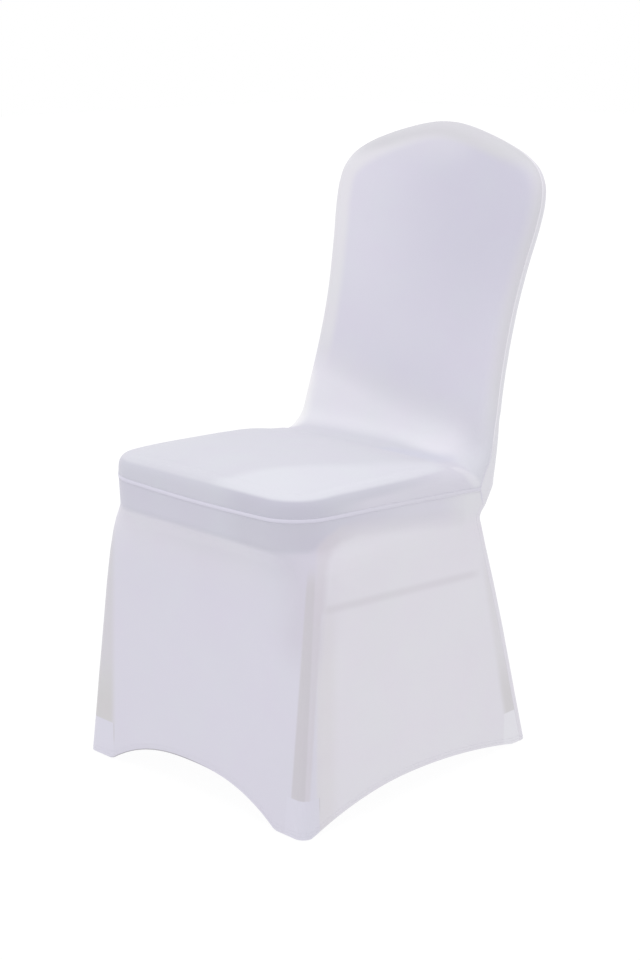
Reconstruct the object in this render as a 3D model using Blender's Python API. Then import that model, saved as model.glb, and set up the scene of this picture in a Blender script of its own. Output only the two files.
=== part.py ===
# A fitted cover of white stretch cloth for a stacking banquet chair. It is hollow and
# open below, and seven cut pieces are sewn edge to edge:
#   front_panel    inside back, seat and upper half of the seat band, cut in one
#   back_panel     outside back from the crown to the floor, wrapped round the sides
#   skirt          lower half of the seat band, both sides and the front, to the floor
#   foot_pocket_*  four closed socks of doubled cloth inside the lower corners
#
# Lengths are in metres: +X across (the sitter's left), +Y to the back, +Z up. Shapes
# are worked out on a floor frame (z = 0 is the floor, y = 0 the middle of the
# footprint) and moved at the end, so that the origin is the point under the crown
# that carries the cover. Every surface below is the middle of the cloth.

import bmesh
import bpy
import numpy as np
from math import atan, cos, pi, sin, sqrt, tan

# Cloth
SHEET = 0.002
SEAM_GAP = 0.0003
CLOTH_COLOUR = (0.78, 0.78, 0.86)
POCKET_COLOUR = (0.74, 0.77, 0.88)
CLOTH_ROUGHNESS = 0.75

# Back: a leaning slab with round edges, its outline a smooth curve through these
CROWN_HEIGHT = 0.9485
BACK_LEAN = 0.250
BACK_FOOT_Y = 0.0650
BACK_HALF_DEPTH = 0.019
BACK_DOME = 0.005
EDGE_ROUND = 0.022
BACK_OUTLINE = [
    # half_width, height
    (0.2035, 0.440),
    (0.1975, 0.495),
    (0.1905, 0.560),
    (0.1872, 0.620),
    (0.1872, 0.665),
    (0.1893, 0.703),
    (0.1950, 0.757),
    (0.2013, 0.798),
    (0.2045, 0.829),
    (0.2040, 0.848),
    (0.2005, 0.866),
    (0.1910, 0.883),
    (0.1760, 0.8970),
    (0.1490, 0.9120),
    (0.1070, 0.9275),
    (0.0600, 0.9405),
    (0.0250, 0.9470),
    (0.0000, CROWN_HEIGHT),
]
SHOULDER_ROW = 11
SLAB_SEAM_Z = 0.532

# Seat and its band
SEAT_FRONT_Y = -0.236
SEAT_HALF_WIDTH = 0.207
SEAT_REAR_HALF_WIDTH = 0.2045
SEAT_CORNER = 0.060
SEAT_TOP = 0.471
SEAT_FALL = 0.033
SEAT_DOME = 0.030
SEAT_DOME_BEND = 4.0
SEAT_DOME_LENGTH = 0.200
SEAT_DOME_FADE_Y = -0.010
SEAT_DOME_REAR = 0.15
CREASE_ROUND = 0.024
FRONT_SEAM_Z = 0.443
BAND_FOOT_Z = 0.402
BAND_TURN_IN = 0.001

# Side seam: the rear corner, where three panels meet, then up to the slab's edge
REAR_CORNER_Y = 0.149
REAR_CORNER_Z = 0.427
LOWER_SIDE_SEAM = [
    # seam_y, seam_z
    (0.156, 0.438),
    (0.164, 0.450),
    (0.175, 0.462),
    (0.184, 0.478),
    (0.190, 0.504),
]

# Skirt: its corner lines run straight, from just under the seat band to the floor
TOP_HALF_WIDTH = 0.2232
TOP_FRONT_Y = -0.2115
TOP_REAR_HALF_WIDTH = 0.2045
FOOT_HALF_WIDTH = 0.2375
FOOT_FRONT_Y = -0.2535
FOOT_REAR_HALF_WIDTH = 0.2165
LEG_CORNER = 0.015
HEM_LOW = 0.002
SIDE_ARCH_MIDDLE_Y = -0.035
# Arches of the hem: half_width, rise, bend
FRONT_ARCH = (0.181, 0.048, 2.5)
REAR_ARCH = (0.170, 0.044, 2.5)
SIDE_ARCH_FORWARD = (0.202, 0.032, 2.0)
SIDE_ARCH_BACKWARD = (0.262, 0.032, 2.0)

# Outside back: its rear face below the slab
REAR_FACE = [
    # height, rear_y
    (0.000, 0.2615),
    (0.200, 0.2098),
    (0.386, 0.1548),
    (0.398, 0.1660),
    (0.412, 0.1825),
    (0.427, 0.1950),
    (0.450, 0.2025),
    (0.478, 0.2075),
    (0.504, 0.2125),
]
LEG_SEAM_IN = 0.0145

# Foot pockets
POCKET_HEIGHT = 0.045
POCKET_HALF = 0.0155
POCKET_ROUND = 0.014
POCKET_CLEAR = 0.0004
POCKET_FLOOR_ROUND = 0.005
POCKET_CORNER_STEPS = 4

# Steps of the meshes
FRONT_STEPS = 6
ARC_STEPS = 4
SIDE_STEPS = 9
CREASE_STEPS = 4
BACK_STEPS = 11
CURVE_STEPS = 24
BAND_SHARES = (0.0, 0.30, 0.65, 1.0)
FALL_ROWS = [
    # share of the fall, share of the way from the band to the corner line, corner
    (0.035, 0.58, 0.046),
    (0.075, 0.84, 0.034),
    (0.125, 0.95, 0.026),
    (0.200, 1.00, 0.021),
    (0.350, 1.00, 0.018),
    (0.520, 1.00, 0.016),
    (0.690, 1.00, LEG_CORNER),
    (0.850, 1.00, LEG_CORNER),
    (1.000, 1.00, LEG_CORNER),
]
ROUND_ANGLES = (pi / 6, pi / 3, pi / 2)
ROUND_SHARE = 0.8

HALF_SHEET = SHEET / 2
LEAN_ANGLE = atan(BACK_LEAN)
ACROSS = np.array([1.0, 0.0, 0.0])
BACK_UP = np.array([0.0, sin(LEAN_ANGLE), cos(LEAN_ANGLE)])
BACK_FORWARD = np.array([0.0, -cos(LEAN_ANGLE), sin(LEAN_ANGLE)])
MIRROR_X = np.array([-1.0, 1.0, 1.0])
UNDER_CROWN_Z = CROWN_HEIGHT - HALF_SHEET
ORIGIN = np.array([0.0, BACK_FOOT_Y + BACK_LEAN * UNDER_CROWN_Z, UNDER_CROWN_Z])


# Curves and grids

def between(low, high, share):
    return low + (high - low) * share


def smooth_curve(points):
    """Points on a Catmull-Rom curve through the given ones, mirrored past the last."""
    points = np.asarray(points, float)
    first = 2 * points[0] - points[1]
    last = points[-2] * (-1, 1)
    knots = np.vstack([first, points, last])
    curve = []
    for a, b, c, d in zip(knots, knots[1:], knots[2:], knots[3:]):
        for t in np.arange(CURVE_STEPS) / CURVE_STEPS:
            curve.append(b + 0.5 * t * (c - a + t * (2 * a - 5 * b + 4 * c - d
                                                     + t * (3 * (b - c) + d - a))))
    curve.append(points[-1])
    return np.array(curve)


def along(curve, shares):
    """Points at the given shares of a curve's length, and its direction there."""
    steps = np.linalg.norm(np.diff(curve, axis=0), axis=1)
    run = np.concatenate([[0.0], np.cumsum(steps)])
    at = np.asarray(shares) * run[-1]
    near = run[-1] * 0.01

    def read(distance):
        distance = np.clip(distance, 0, run[-1])
        return np.stack([np.interp(distance, run, axis) for axis in curve.T], axis=-1)

    way = read(at + near) - read(at - near)
    return read(at), way / np.linalg.norm(way, axis=1)[:, None]


def filled_grid(low, high, left, right):
    """A Coons patch: rows of points between four edges that share their corners."""
    low, high, left, right = (np.asarray(edge, float) for edge in (low, high, left, right))
    straight = high if abs(high[0, 1] - high[len(high) // 2, 1]) < 1e-6 else low
    u = (straight[:, 0] - straight[0, 0]) / (straight[-1, 0] - straight[0, 0])
    steps = np.linalg.norm(np.diff(right, axis=0), axis=1)
    v = np.concatenate([[0.0], np.cumsum(steps)]) / steps.sum()
    u = u[None, :, None]
    v = v[:, None, None]
    ruled = between(low[None], high[None], v) + between(left[:, None], right[:, None], u)
    corners = between(between(low[0], low[-1], u), between(high[0], high[-1], u), v)
    return ruled - corners


def whole_row(half):
    """A row across the cover from its half that runs from the middle to +X."""
    half = np.asarray(half, float)
    left = half[:0:-1].copy()
    left[:, 0] *= -1
    return np.vstack([left, half])


def column_shares():
    """Where the columns of a face stand: 0 in the middle, 1 at its edge."""
    straight = SEAT_HALF_WIDTH - SEAT_CORNER
    edge = SEAT_HALF_WIDTH - EDGE_ROUND
    middle = np.linspace(0, straight, FRONT_STEPS + 1)
    rounded = np.linspace(straight, edge, ARC_STEPS + 1)[1:]
    return np.concatenate([middle, rounded]) / edge


def plan_section(half_width, rear_half_width, front_y, rear_y, corner):
    """Half an outline seen from above, front middle to rear, and its outward ways."""
    points = [(x, front_y) for x in np.linspace(0, half_width - corner, FRONT_STEPS + 1)]
    ways = [(0.0, -1.0)] * (FRONT_STEPS + 1)
    for angle in np.linspace(-pi / 2, 0, 2 * ARC_STEPS + 1)[1:]:
        way = np.array([cos(angle), sin(angle)])
        points.append(np.array([half_width - corner, front_y + corner]) + corner * way)
        ways.append(way)
    for share in np.linspace(0, 1, SIDE_STEPS + 1)[1:]:
        points.append((between(half_width, rear_half_width, share),
                       between(front_y + corner, rear_y, share)))
        ways.append((1.0, 0.0))
    return np.array(points), np.array(ways)


# Sheets of cloth

class Surface:
    """The middle surface of one panel: points, faces, and its normals at the seams."""

    def __init__(self):
        self.points = []
        self.faces = []
        self.seam_normals = {}

    def add(self, point):
        self.points.append(np.asarray(point, float))
        return len(self.points) - 1

    def add_grid(self, grid, turned=False):
        ids = [[self.add(point) for point in row] for row in grid]
        self.join_rows(ids, turned)
        return ids

    def join_rows(self, ids, turned):
        for low, high in zip(ids, ids[1:]):
            for i in range(len(low) - 1):
                quad = [low[i], low[i + 1], high[i + 1], high[i]]
                self.faces.append(quad[::-1] if turned else quad)

    def round_to_seam(self, edge_ids, stations, turned=False, closed=False):
        """From a face's edge a quarter round, then straight on to the seam."""
        rings = [list(edge_ids)]
        for angle in ROUND_ANGLES:
            ring = []
            for index, station in zip(edge_ids, stations):
                edge = self.points[index]
                drop = station.seam - edge - station.side
                turn = ROUND_SHARE * (1 - cos(angle))
                ring.append(self.add(edge + station.side * sin(angle) + drop * turn))
            rings.append(ring)
        ring = []
        for index, station in zip(edge_ids, stations):
            drop = station.seam - self.points[index] - station.side
            back_off = drop / np.linalg.norm(drop) * SEAM_GAP / 2
            end = self.add(station.seam - back_off)
            self.seam_normals[end] = station.outward
            ring.append(end)
        rings.append(ring)
        if closed:
            rings = [ring + ring[:1] for ring in rings]
        self.join_rows(rings, turned)

    def build(self, name, colour):
        """Give the surface its thickness, half to each side, as one closed object."""
        middle = bmesh.new()
        for point in self.points:
            middle.verts.new(point)
        middle.verts.ensure_lookup_table()
        for face in self.faces:
            middle.faces.new([middle.verts[i] for i in face])
        middle.normal_update()
        middle.verts.index_update()
        normals = [np.array(vert.normal) for vert in middle.verts]
        for index, normal in self.seam_normals.items():
            normals[index] = normal / np.linalg.norm(normal)
        border = []
        for edge in middle.edges:
            if edge.is_boundary:
                loop = edge.link_loops[0]
                border.append((loop.vert.index, loop.link_loop_next.vert.index))
        middle.free()

        cloth = bmesh.new()
        places = list(zip(self.points, normals))
        outer = [cloth.verts.new(p - ORIGIN + n * HALF_SHEET) for p, n in places]
        inner = [cloth.verts.new(p - ORIGIN - n * HALF_SHEET) for p, n in places]
        for face in self.faces:
            cloth.faces.new([outer[i] for i in face])
            cloth.faces.new([inner[i] for i in reversed(face)])
        for a, b in border:
            cloth.faces.new([outer[b], outer[a], inner[a], inner[b]])
        return cloth_object(name, cloth, colour)


class Station:
    """One place on a seam, with the face edge that rounds over to it."""

    def __init__(self, edge, seam, outward, size):
        self.edge = np.asarray(edge, float)
        self.seam = np.asarray(seam, float)
        self.outward = np.asarray(outward, float)
        self.side = self.outward * size

    def mirrored(self):
        other = Station(self.edge * MIRROR_X, self.seam * MIRROR_X, self.outward * MIRROR_X, 0)
        other.side = self.side * MIRROR_X
        return other


def cloth_object(name, shape, colour):
    mesh = bpy.data.meshes.new(name)
    shape.to_mesh(mesh)
    shape.free()
    mesh.shade_smooth()
    mesh.set_sharp_from_angle(angle=pi / 4)
    material = bpy.data.materials.new(name)
    material.use_nodes = True
    shader = material.node_tree.nodes["Principled BSDF"]
    shader.inputs["Base Color"].default_value = (*colour, 1.0)
    shader.inputs["Roughness"].default_value = CLOTH_ROUGHNESS
    shader.inputs["Metallic"].default_value = 0.0
    mesh.materials.append(material)
    obj = bpy.data.objects.new(name, mesh)
    bpy.context.collection.objects.link(obj)
    return obj


# The back's plane and the seam round its edge

def on_back(x, height):
    return np.array([x, BACK_FOOT_Y + BACK_LEAN * height, height])


def back_rim():
    """Seam points and outward ways: up the +X side, then over to the crown's middle."""
    curve = smooth_curve(BACK_OUTLINE)
    shoulder = SHOULDER_ROW * CURVE_STEPS
    start = int(np.argmin(np.abs(curve[:shoulder, 1] - SLAB_SEAM_Z)))
    side = along(curve[start:shoulder + 1], np.linspace(0, 1, BACK_STEPS + 1))
    crown = along(curve[shoulder:], (1 - column_shares())[::-1])
    crown[1][0] = side[1][-1]
    crown[1][-1] = (-1, 0)

    def placed(points, ways):
        result = []
        for point, way in zip(points, ways):
            rise = way[1] / cos(LEAN_ANGLE)
            outward = (rise * ACROSS - way[0] * BACK_UP) / sqrt(rise ** 2 + way[0] ** 2)
            result.append((on_back(*point), outward))
        return result

    return placed(*side), placed(*crown)


def slab_station(point, outward, forward):
    """A station on the slab's rim, for the inside back or for the outside back."""
    depth = BACK_HALF_DEPTH if forward else -BACK_HALF_DEPTH
    edge = point - outward * EDGE_ROUND + BACK_FORWARD * depth
    return Station(edge, point, outward, EDGE_ROUND)


def lower_seam_points():
    """The side seam between the seat's rear corner and the slab's edge."""
    slab_x = back_rim()[0][0][0][0]
    points = []
    for i, (y, z) in enumerate(LOWER_SIDE_SEAM, start=1):
        x = between(SEAT_REAR_HALF_WIDTH, slab_x, i / (len(LOWER_SIDE_SEAM) + 1))
        points.append(np.array([x, y, z]))
    return points


# Seat

def seat_seam_z(y):
    share = (y - SEAT_FRONT_Y) / (REAR_CORNER_Y - SEAT_FRONT_Y)
    return between(FRONT_SEAM_Z, REAR_CORNER_Z, share)


def seat_height(x, y):
    """Top of the seat: a tilted level with a full, flat-topped crown on it."""
    across = 1 - abs(x / SEAT_HALF_WIDTH) ** SEAT_DOME_BEND
    front = 1 - max(1 - (y - SEAT_FRONT_Y) / SEAT_DOME_LENGTH, 0) ** SEAT_DOME_BEND
    fade = (y - SEAT_DOME_FADE_Y) / (REAR_CORNER_Y - SEAT_DOME_FADE_Y)
    fade = min(max(fade, 0), 1)
    rear = between(1, SEAT_DOME_REAR, fade * fade * (3 - 2 * fade))
    return SEAT_TOP - SEAT_FALL * (y - SEAT_FRONT_Y) + SEAT_DOME * across * front * rear


def crease_line():
    """Side view (y, z) of the soft round from the seat up to the inside back."""
    face_y = BACK_FOOT_Y - BACK_HALF_DEPTH / cos(LEAN_ANGLE)
    level = SEAT_TOP + SEAT_FALL * SEAT_FRONT_Y
    meet_z = (level - SEAT_FALL * face_y) / (1 + SEAT_FALL * BACK_LEAN)
    meet = np.array([face_y + BACK_LEAN * meet_z, meet_z])
    tilt = atan(SEAT_FALL)
    turn = pi / 2 - LEAN_ANGLE + tilt
    start = meet - CREASE_ROUND * tan(turn / 2) * np.array([cos(tilt), -sin(tilt)])
    centre = start + CREASE_ROUND * np.array([sin(tilt), cos(tilt)])
    angles = np.linspace(-pi / 2 - tilt, -pi / 2 - tilt + turn, CREASE_STEPS + 1)
    return [centre + CREASE_ROUND * np.array([cos(a), sin(a)]) for a in angles]


def seat_stations():
    """Stations round the seat from the front's middle back to the rear corner."""
    seam, ways = plan_section(SEAT_HALF_WIDTH, SEAT_REAR_HALF_WIDTH, SEAT_FRONT_Y,
                              REAR_CORNER_Y, SEAT_CORNER)
    edge, _ = plan_section(SEAT_HALF_WIDTH - EDGE_ROUND, SEAT_REAR_HALF_WIDTH - EDGE_ROUND,
                           SEAT_FRONT_Y + EDGE_ROUND, crease_line()[0][0],
                           SEAT_CORNER - EDGE_ROUND)
    stations = []
    for (x, y), (seam_x, seam_y), way in zip(edge, seam, ways):
        place = (seam_x, seam_y, seat_seam_z(seam_y))
        stations.append(Station((x, y, seat_height(x, y)), place, (*way, 0.0), EDGE_ROUND))
    return stations


# Front panel: inside back, seat and upper band

def seat_rows(stations):
    corner = FRONT_STEPS + ARC_STEPS
    plan = [station.edge[:2] for station in stations]
    low = whole_row(plan[:corner + 1])
    right = np.array(plan[corner:])
    high = whole_row([(right[-1][0] * share, right[-1][1]) for share in column_shares()])
    grid = filled_grid(low, high, right * (-1, 1), right)
    return [[(x, y, seat_height(x, y)) for x, y in row] for row in grid]


def straight_row(edge):
    """A row straight across, from the middle to a face edge on the +X side."""
    return whole_row([(edge[0] * share, edge[1], edge[2]) for share in column_shares()])


def slab_rows(side, crown, forward):
    """The slab's flat face, inside or outside back, domed a little in its middle."""
    sign = 1 if forward else -1
    right = np.array([(p - n * EDGE_ROUND)[[0, 2]] for p, n in side])
    top = np.array([(p - n * EDGE_ROUND)[[0, 2]] for p, n in crown])
    low = whole_row([(right[0][0] * share, right[0][1]) for share in column_shares()])
    grid = filled_grid(low, whole_row(top[::-1]), right * (-1, 1), right)
    bottom, height = right[0][1], CROWN_HEIGHT - EDGE_ROUND - right[0][1]
    rows = []
    for row in grid:
        points = []
        for x, z in row:
            reach = min(max((z - bottom) / height, 0), 1)
            dome = 4 * reach * (1 - reach) * (1 - (x / SEAT_HALF_WIDTH) ** 2)
            depth = BACK_HALF_DEPTH + BACK_DOME * dome
            points.append(on_back(x, z) + BACK_FORWARD * depth * sign)
        rows.append(points)
    return rows


def front_panel():
    seat = seat_stations()
    side, crown = back_rim()
    corner = FRONT_STEPS + ARC_STEPS
    crease = [(y, z) for y, z in crease_line()[1:]]
    first_slab = slab_station(*side[0], forward=True)
    crease.append(tuple(between(np.array(crease[-1]), first_slab.edge[1:], 0.5)))
    bend = []
    for (y, z), seam in zip(crease, lower_seam_points()):
        bend.append(Station((seam[0] - EDGE_ROUND, y, z), seam, ACROSS, EDGE_ROUND))
    slab = [slab_station(*place, forward=True) for place in side]
    over = [slab_station(*place, forward=True) for place in crown]

    surface = Surface()
    ids = surface.add_grid(seat_rows(seat)
                           + [straight_row(station.edge) for station in bend]
                           + slab_rows(side, crown, forward=True))
    right = seat[corner:] + bend + slab
    top = over[1:] + [station.mirrored() for station in over[-2:0:-1]]
    left = [station.mirrored() for station in reversed(right)]
    front = [station.mirrored() for station in seat[corner - 1:0:-1]] + seat[:corner]
    edge_ids = ([row[-1] for row in ids] + ids[-1][-2:0:-1]
                + [row[0] for row in reversed(ids)] + ids[0][1:-1])
    surface.round_to_seam(edge_ids, right + top + left + front, turned=True, closed=True)
    return surface.build("front_panel", CLOTH_COLOUR)


# Skirt

def skirt_side(height):
    """Half widths at front and rear, front and rear seam places, at one height."""
    down = 1 - height / BAND_FOOT_Z
    return (between(TOP_HALF_WIDTH, FOOT_HALF_WIDTH, down),
            between(TOP_REAR_HALF_WIDTH, FOOT_REAR_HALF_WIDTH, down),
            between(TOP_FRONT_Y, FOOT_FRONT_Y, down),
            rear_face_y(height) - LEG_SEAM_IN)


def arch(distance, half, rise, bend):
    """Height of a hem's arch over its springing, 0 outside it."""
    return rise * max(1 - abs(distance / half) ** bend, 0)


def skirt_arch(x, y, on_front):
    if on_front:
        return arch(x, *FRONT_ARCH)
    distance = y - SIDE_ARCH_MIDDLE_Y
    return arch(distance, *(SIDE_ARCH_BACKWARD if distance > 0 else SIDE_ARCH_FORWARD))


def skirt_rows():
    """Rows down the skirt; each is half a section from the front middle to the rear."""
    seam = [station.seam for station in seat_stations()]
    foot, _ = plan_section(*skirt_side(0.0), LEG_CORNER)
    rows = []
    rear_seam_y = skirt_side(BAND_FOOT_Z)[3]
    for share in BAND_SHARES:
        band = (SEAT_HALF_WIDTH - BAND_TURN_IN * share,
                between(SEAT_REAR_HALF_WIDTH, TOP_REAR_HALF_WIDTH, share),
                SEAT_FRONT_Y + BAND_TURN_IN * share,
                between(REAR_CORNER_Y, rear_seam_y, share))
        section, _ = plan_section(*band, SEAT_CORNER)
        rows.append([(x, y, between(place[2], BAND_FOOT_Z, share))
                     for (x, y), place in zip(section, seam)])
    for share, reached, corner in FALL_ROWS:
        row = []
        for i, (foot_x, foot_y) in enumerate(foot):
            rise = skirt_arch(foot_x, foot_y, i <= FRONT_STEPS + ARC_STEPS)
            height = between(BAND_FOOT_Z, HEM_LOW + rise, share)
            half_width, rear_half_width, front_y, rear_y = skirt_side(height)
            section, _ = plan_section(between(band[0], half_width, reached), rear_half_width,
                                      between(band[2], front_y, reached), rear_y, corner)
            row.append((*section[i], height))
        rows.append(row)
    return rows


def skirt():
    seat = seat_stations()
    rows = [np.array(row) for row in skirt_rows()]
    rows[0][:, 2] -= SEAM_GAP / 2
    for row in rows:
        row[-1][1] -= SEAM_GAP / 2
    surface = Surface()
    ids = surface.add_grid([whole_row(row) for row in rows], turned=True)
    middle = len(seat) - 1
    for i, station in enumerate(seat):
        surface.seam_normals[ids[0][middle + i]] = station.outward
        surface.seam_normals[ids[0][middle - i]] = station.outward * MIRROR_X
    for row in ids:
        surface.seam_normals[row[-1]] = ACROSS
        surface.seam_normals[row[0]] = -ACROSS
    return surface.build("skirt", CLOTH_COLOUR)


# Back panel

def rear_face_y(height):
    heights, places = zip(*REAR_FACE)
    return float(np.interp(height, heights, places))


def back_panel():
    side, crown = back_rim()
    stations = []
    for row in reversed(skirt_rows()):
        x, y, z = row[-1]
        size = LEG_CORNER if z < BAND_FOOT_Z else between(LEG_CORNER, EDGE_ROUND, 0.5)
        stations.append(Station((x - size, rear_face_y(z), z), (x, y, z), ACROSS, size))
    for seam in lower_seam_points():
        edge = (seam[0] - EDGE_ROUND, rear_face_y(seam[2]), seam[2])
        stations.append(Station(edge, seam, ACROSS, EDGE_ROUND))
    lower_count = len(stations)
    stations += [slab_station(*place, forward=False) for place in side]
    over = [slab_station(*place, forward=False) for place in crown]

    lower = []
    for row, station in enumerate(stations[:lower_count]):
        points = straight_row(station.edge)
        share = FALL_ROWS[::-1][row][0] if row < len(FALL_ROWS) else 0.0
        for point in points:
            point[2] += share * arch(point[0], *REAR_ARCH)
            if share:
                point[1] = rear_face_y(point[2])
        lower.append(points)

    surface = Surface()
    ids = surface.add_grid(lower + slab_rows(side, crown, forward=False), turned=True)
    top = over[1:] + [station.mirrored() for station in over[-2:0:-1]]
    left = [station.mirrored() for station in reversed(stations)]
    edge_ids = [row[-1] for row in ids] + ids[-1][-2:0:-1] + [row[0] for row in reversed(ids)]
    surface.round_to_seam(edge_ids, stations + top + left)
    return surface.build("back_panel", CLOTH_COLOUR)


# Foot pockets

def pocket_ring(centre, half, corner, height):
    points = []
    for quarter in range(4):
        middle = (half - corner) * np.array([cos(pi / 4 + quarter * pi / 2),
                                             sin(pi / 4 + quarter * pi / 2)]) * sqrt(2)
        for step in range(POCKET_CORNER_STEPS + 1):
            angle = (quarter + step / POCKET_CORNER_STEPS) * pi / 2
            way = np.array([cos(angle), sin(angle)])
            points.append((*(centre + middle + way * corner), height))
    return points


def foot_pocket(name, left, front):
    """A sock with a closed floor, leaning with the corner of cloth that it lies in."""
    reach = HALF_SHEET + POCKET_CLEAR + POCKET_HALF

    def centre(height):
        half_width, rear_half_width, front_y, _ = skirt_side(height)
        x = (half_width if front else rear_half_width) - reach
        y = front_y + reach if front else rear_face_y(height) - reach
        return np.array([x if left else -x, y])

    def ring(height, inset):
        return pocket_ring(centre(height), POCKET_HALF - inset, POCKET_ROUND - inset, height)

    levels = [ring(0.0, POCKET_FLOOR_ROUND),
              ring(POCKET_FLOOR_ROUND * 0.3, POCKET_FLOOR_ROUND * 0.3),
              ring(POCKET_FLOOR_ROUND, 0.0),
              ring(POCKET_HEIGHT, 0.0),
              ring(POCKET_HEIGHT, SHEET),
              ring(SHEET + POCKET_FLOOR_ROUND / 2, SHEET),
              ring(SHEET, SHEET + POCKET_FLOOR_ROUND / 2)]
    shape = bmesh.new()
    rings = [[shape.verts.new(np.array(point) - ORIGIN) for point in level] for level in levels]
    for low, high in zip(rings, rings[1:]):
        for i in range(len(low)):
            j = (i + 1) % len(low)
            shape.faces.new([low[i], low[j], high[j], high[i]])
    shape.faces.new(rings[0][::-1])
    shape.faces.new(rings[-1])
    return cloth_object(name, shape, POCKET_COLOUR)


def main():
    for obj in list(bpy.data.objects):
        bpy.data.objects.remove(obj, do_unlink=True)
    front_panel()
    back_panel()
    skirt()
    foot_pocket("foot_pocket_front_left", left=True, front=True)
    foot_pocket("foot_pocket_front_right", left=False, front=True)
    foot_pocket("foot_pocket_rear_left", left=True, front=False)
    foot_pocket("foot_pocket_rear_right", left=False, front=False)


main()
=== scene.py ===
# %% [markdown]
# A fitted chair cover of white stretch cloth.
#
# The cover is sewn from a few cut pieces: one for the inside back, the seat and the
# upper half of the seat band, one for the outside back, and a skirt. The packed solids
# give every size. Here each piece is drawn again as a fine, thin cloth, with the folds
# of the cloth, the seams, the stitches and the knit that plain solids leave out.

from math import atan, cos, pi, radians, sin, sqrt, tan

import bpy
import numpy as np
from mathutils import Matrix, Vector, noise
from mathutils.bvhtree import BVHTree


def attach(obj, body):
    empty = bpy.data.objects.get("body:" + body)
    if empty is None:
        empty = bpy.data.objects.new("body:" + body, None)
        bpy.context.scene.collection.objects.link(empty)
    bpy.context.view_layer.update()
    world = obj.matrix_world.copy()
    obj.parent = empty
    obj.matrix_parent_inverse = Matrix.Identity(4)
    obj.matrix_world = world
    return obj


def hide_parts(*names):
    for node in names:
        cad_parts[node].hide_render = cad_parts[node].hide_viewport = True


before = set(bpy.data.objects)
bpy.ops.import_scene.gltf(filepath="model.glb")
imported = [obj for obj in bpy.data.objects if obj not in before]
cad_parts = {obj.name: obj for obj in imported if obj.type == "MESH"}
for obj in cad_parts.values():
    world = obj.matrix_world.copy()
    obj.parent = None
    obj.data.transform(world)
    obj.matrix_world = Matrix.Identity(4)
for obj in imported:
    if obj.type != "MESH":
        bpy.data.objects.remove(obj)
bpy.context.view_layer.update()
print("solids in the frame:", len(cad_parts))

# %% [markdown]
# The place of the camera and its lens were worked out from the lines of the cover: 45
# degrees round from the front and 14.4 degrees above the level. A long lens keeps the
# corners of the skirt nearly parallel.

# %% Camera
lens = bpy.data.cameras.new("camera")
lens.lens = 69.4
lens.sensor_width = 36.0
camera = bpy.data.objects.new("camera", lens)
camera.location = (1.9214, -2.2046, 0.1798)
camera.rotation_euler = (radians(75.555), 0.0, radians(45.026))
bpy.context.collection.objects.link(camera)
bpy.context.scene.camera = camera
print("camera at", tuple(round(x, 3) for x in camera.location))

# %% [markdown]
# White cloth on a white ground needs light from everywhere: an even white sky does most
# of it, and one large soft lamp above and in front lifts the seat. The plain view
# transform keeps whites white. A filmic one would turn them grey.

# %% Light
LAMP_PLACE = Vector((0.2, -1.2, 2.2))
LAMP_AIM = Vector((0.0, -0.3, -0.5))
LAMP_SIZE = 1.6
LAMP_POWER = 16.0

world = bpy.data.worlds.new("studio")
bpy.context.scene.world = world
world.use_nodes = True
sky = world.node_tree.nodes["Background"]
sky.inputs["Color"].default_value = (1.0, 1.0, 1.0, 1.0)
sky.inputs["Strength"].default_value = 1.0
bpy.context.scene.view_settings.view_transform = "Standard"
bpy.context.scene.view_settings.look = "None"

glow = bpy.data.lights.new("top_lamp", "AREA")
glow.shape = "DISK"
glow.size = LAMP_SIZE
glow.energy = LAMP_POWER
lamp = bpy.data.objects.new("top_lamp", glow)
lamp.location = LAMP_PLACE
lamp.rotation_euler = (LAMP_AIM - LAMP_PLACE).to_track_quat("-Z", "Y").to_euler()
bpy.context.collection.objects.link(lamp)
print("lamp of", LAMP_POWER, "watts at", tuple(round(v, 2) for v in LAMP_PLACE))

# %% [markdown]
# Shader maths is easier to read as sums than as a drawing of nodes. A Term stands for
# one socket. Adding or multiplying Terms adds the Math nodes, and the reflected forms let
# a plain number come first, as in 1.0 - mask.

# %% Class for one socket
class Term:
    def __init__(self, paint, socket):
        self.paint = paint
        self.socket = socket

    def math(self, operation, first, second):
        return self.paint.node("ShaderNodeMath", {"operation": operation}, {0: first, 1: second})

    def __add__(self, other):
        return self.math("ADD", self, other)

    __radd__ = __add__

    def __sub__(self, other):
        return self.math("SUBTRACT", self, other)

    def __rsub__(self, other):
        return self.math("SUBTRACT", other, self)

    def __mul__(self, other):
        return self.math("MULTIPLY", self, other)

    __rmul__ = __mul__

    def most(self, other):
        return self.math("MAXIMUM", self, other)

    def least(self, other):
        return self.math("MINIMUM", self, other)

    def size(self):
        return self.math("ABSOLUTE", self, 0.0)

    def rise(self, low, high):
        """0 below low, 1 above high, soft between. With low above high it falls."""
        return self.paint.node("ShaderNodeMapRange", {"interpolation_type": "SMOOTHSTEP"},
                               {"Value": self, "From Min": low, "From Max": high})


print("a Term knows:", [name for name in vars(Term) if not name.startswith("__")])

# %% [markdown]
# A Paint holds one material and the nodes in it. Any node comes from its method node, which
# takes the node's type, its settings, and the values or links of its sockets. The other
# methods are short names for what the finishes use most.

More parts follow.
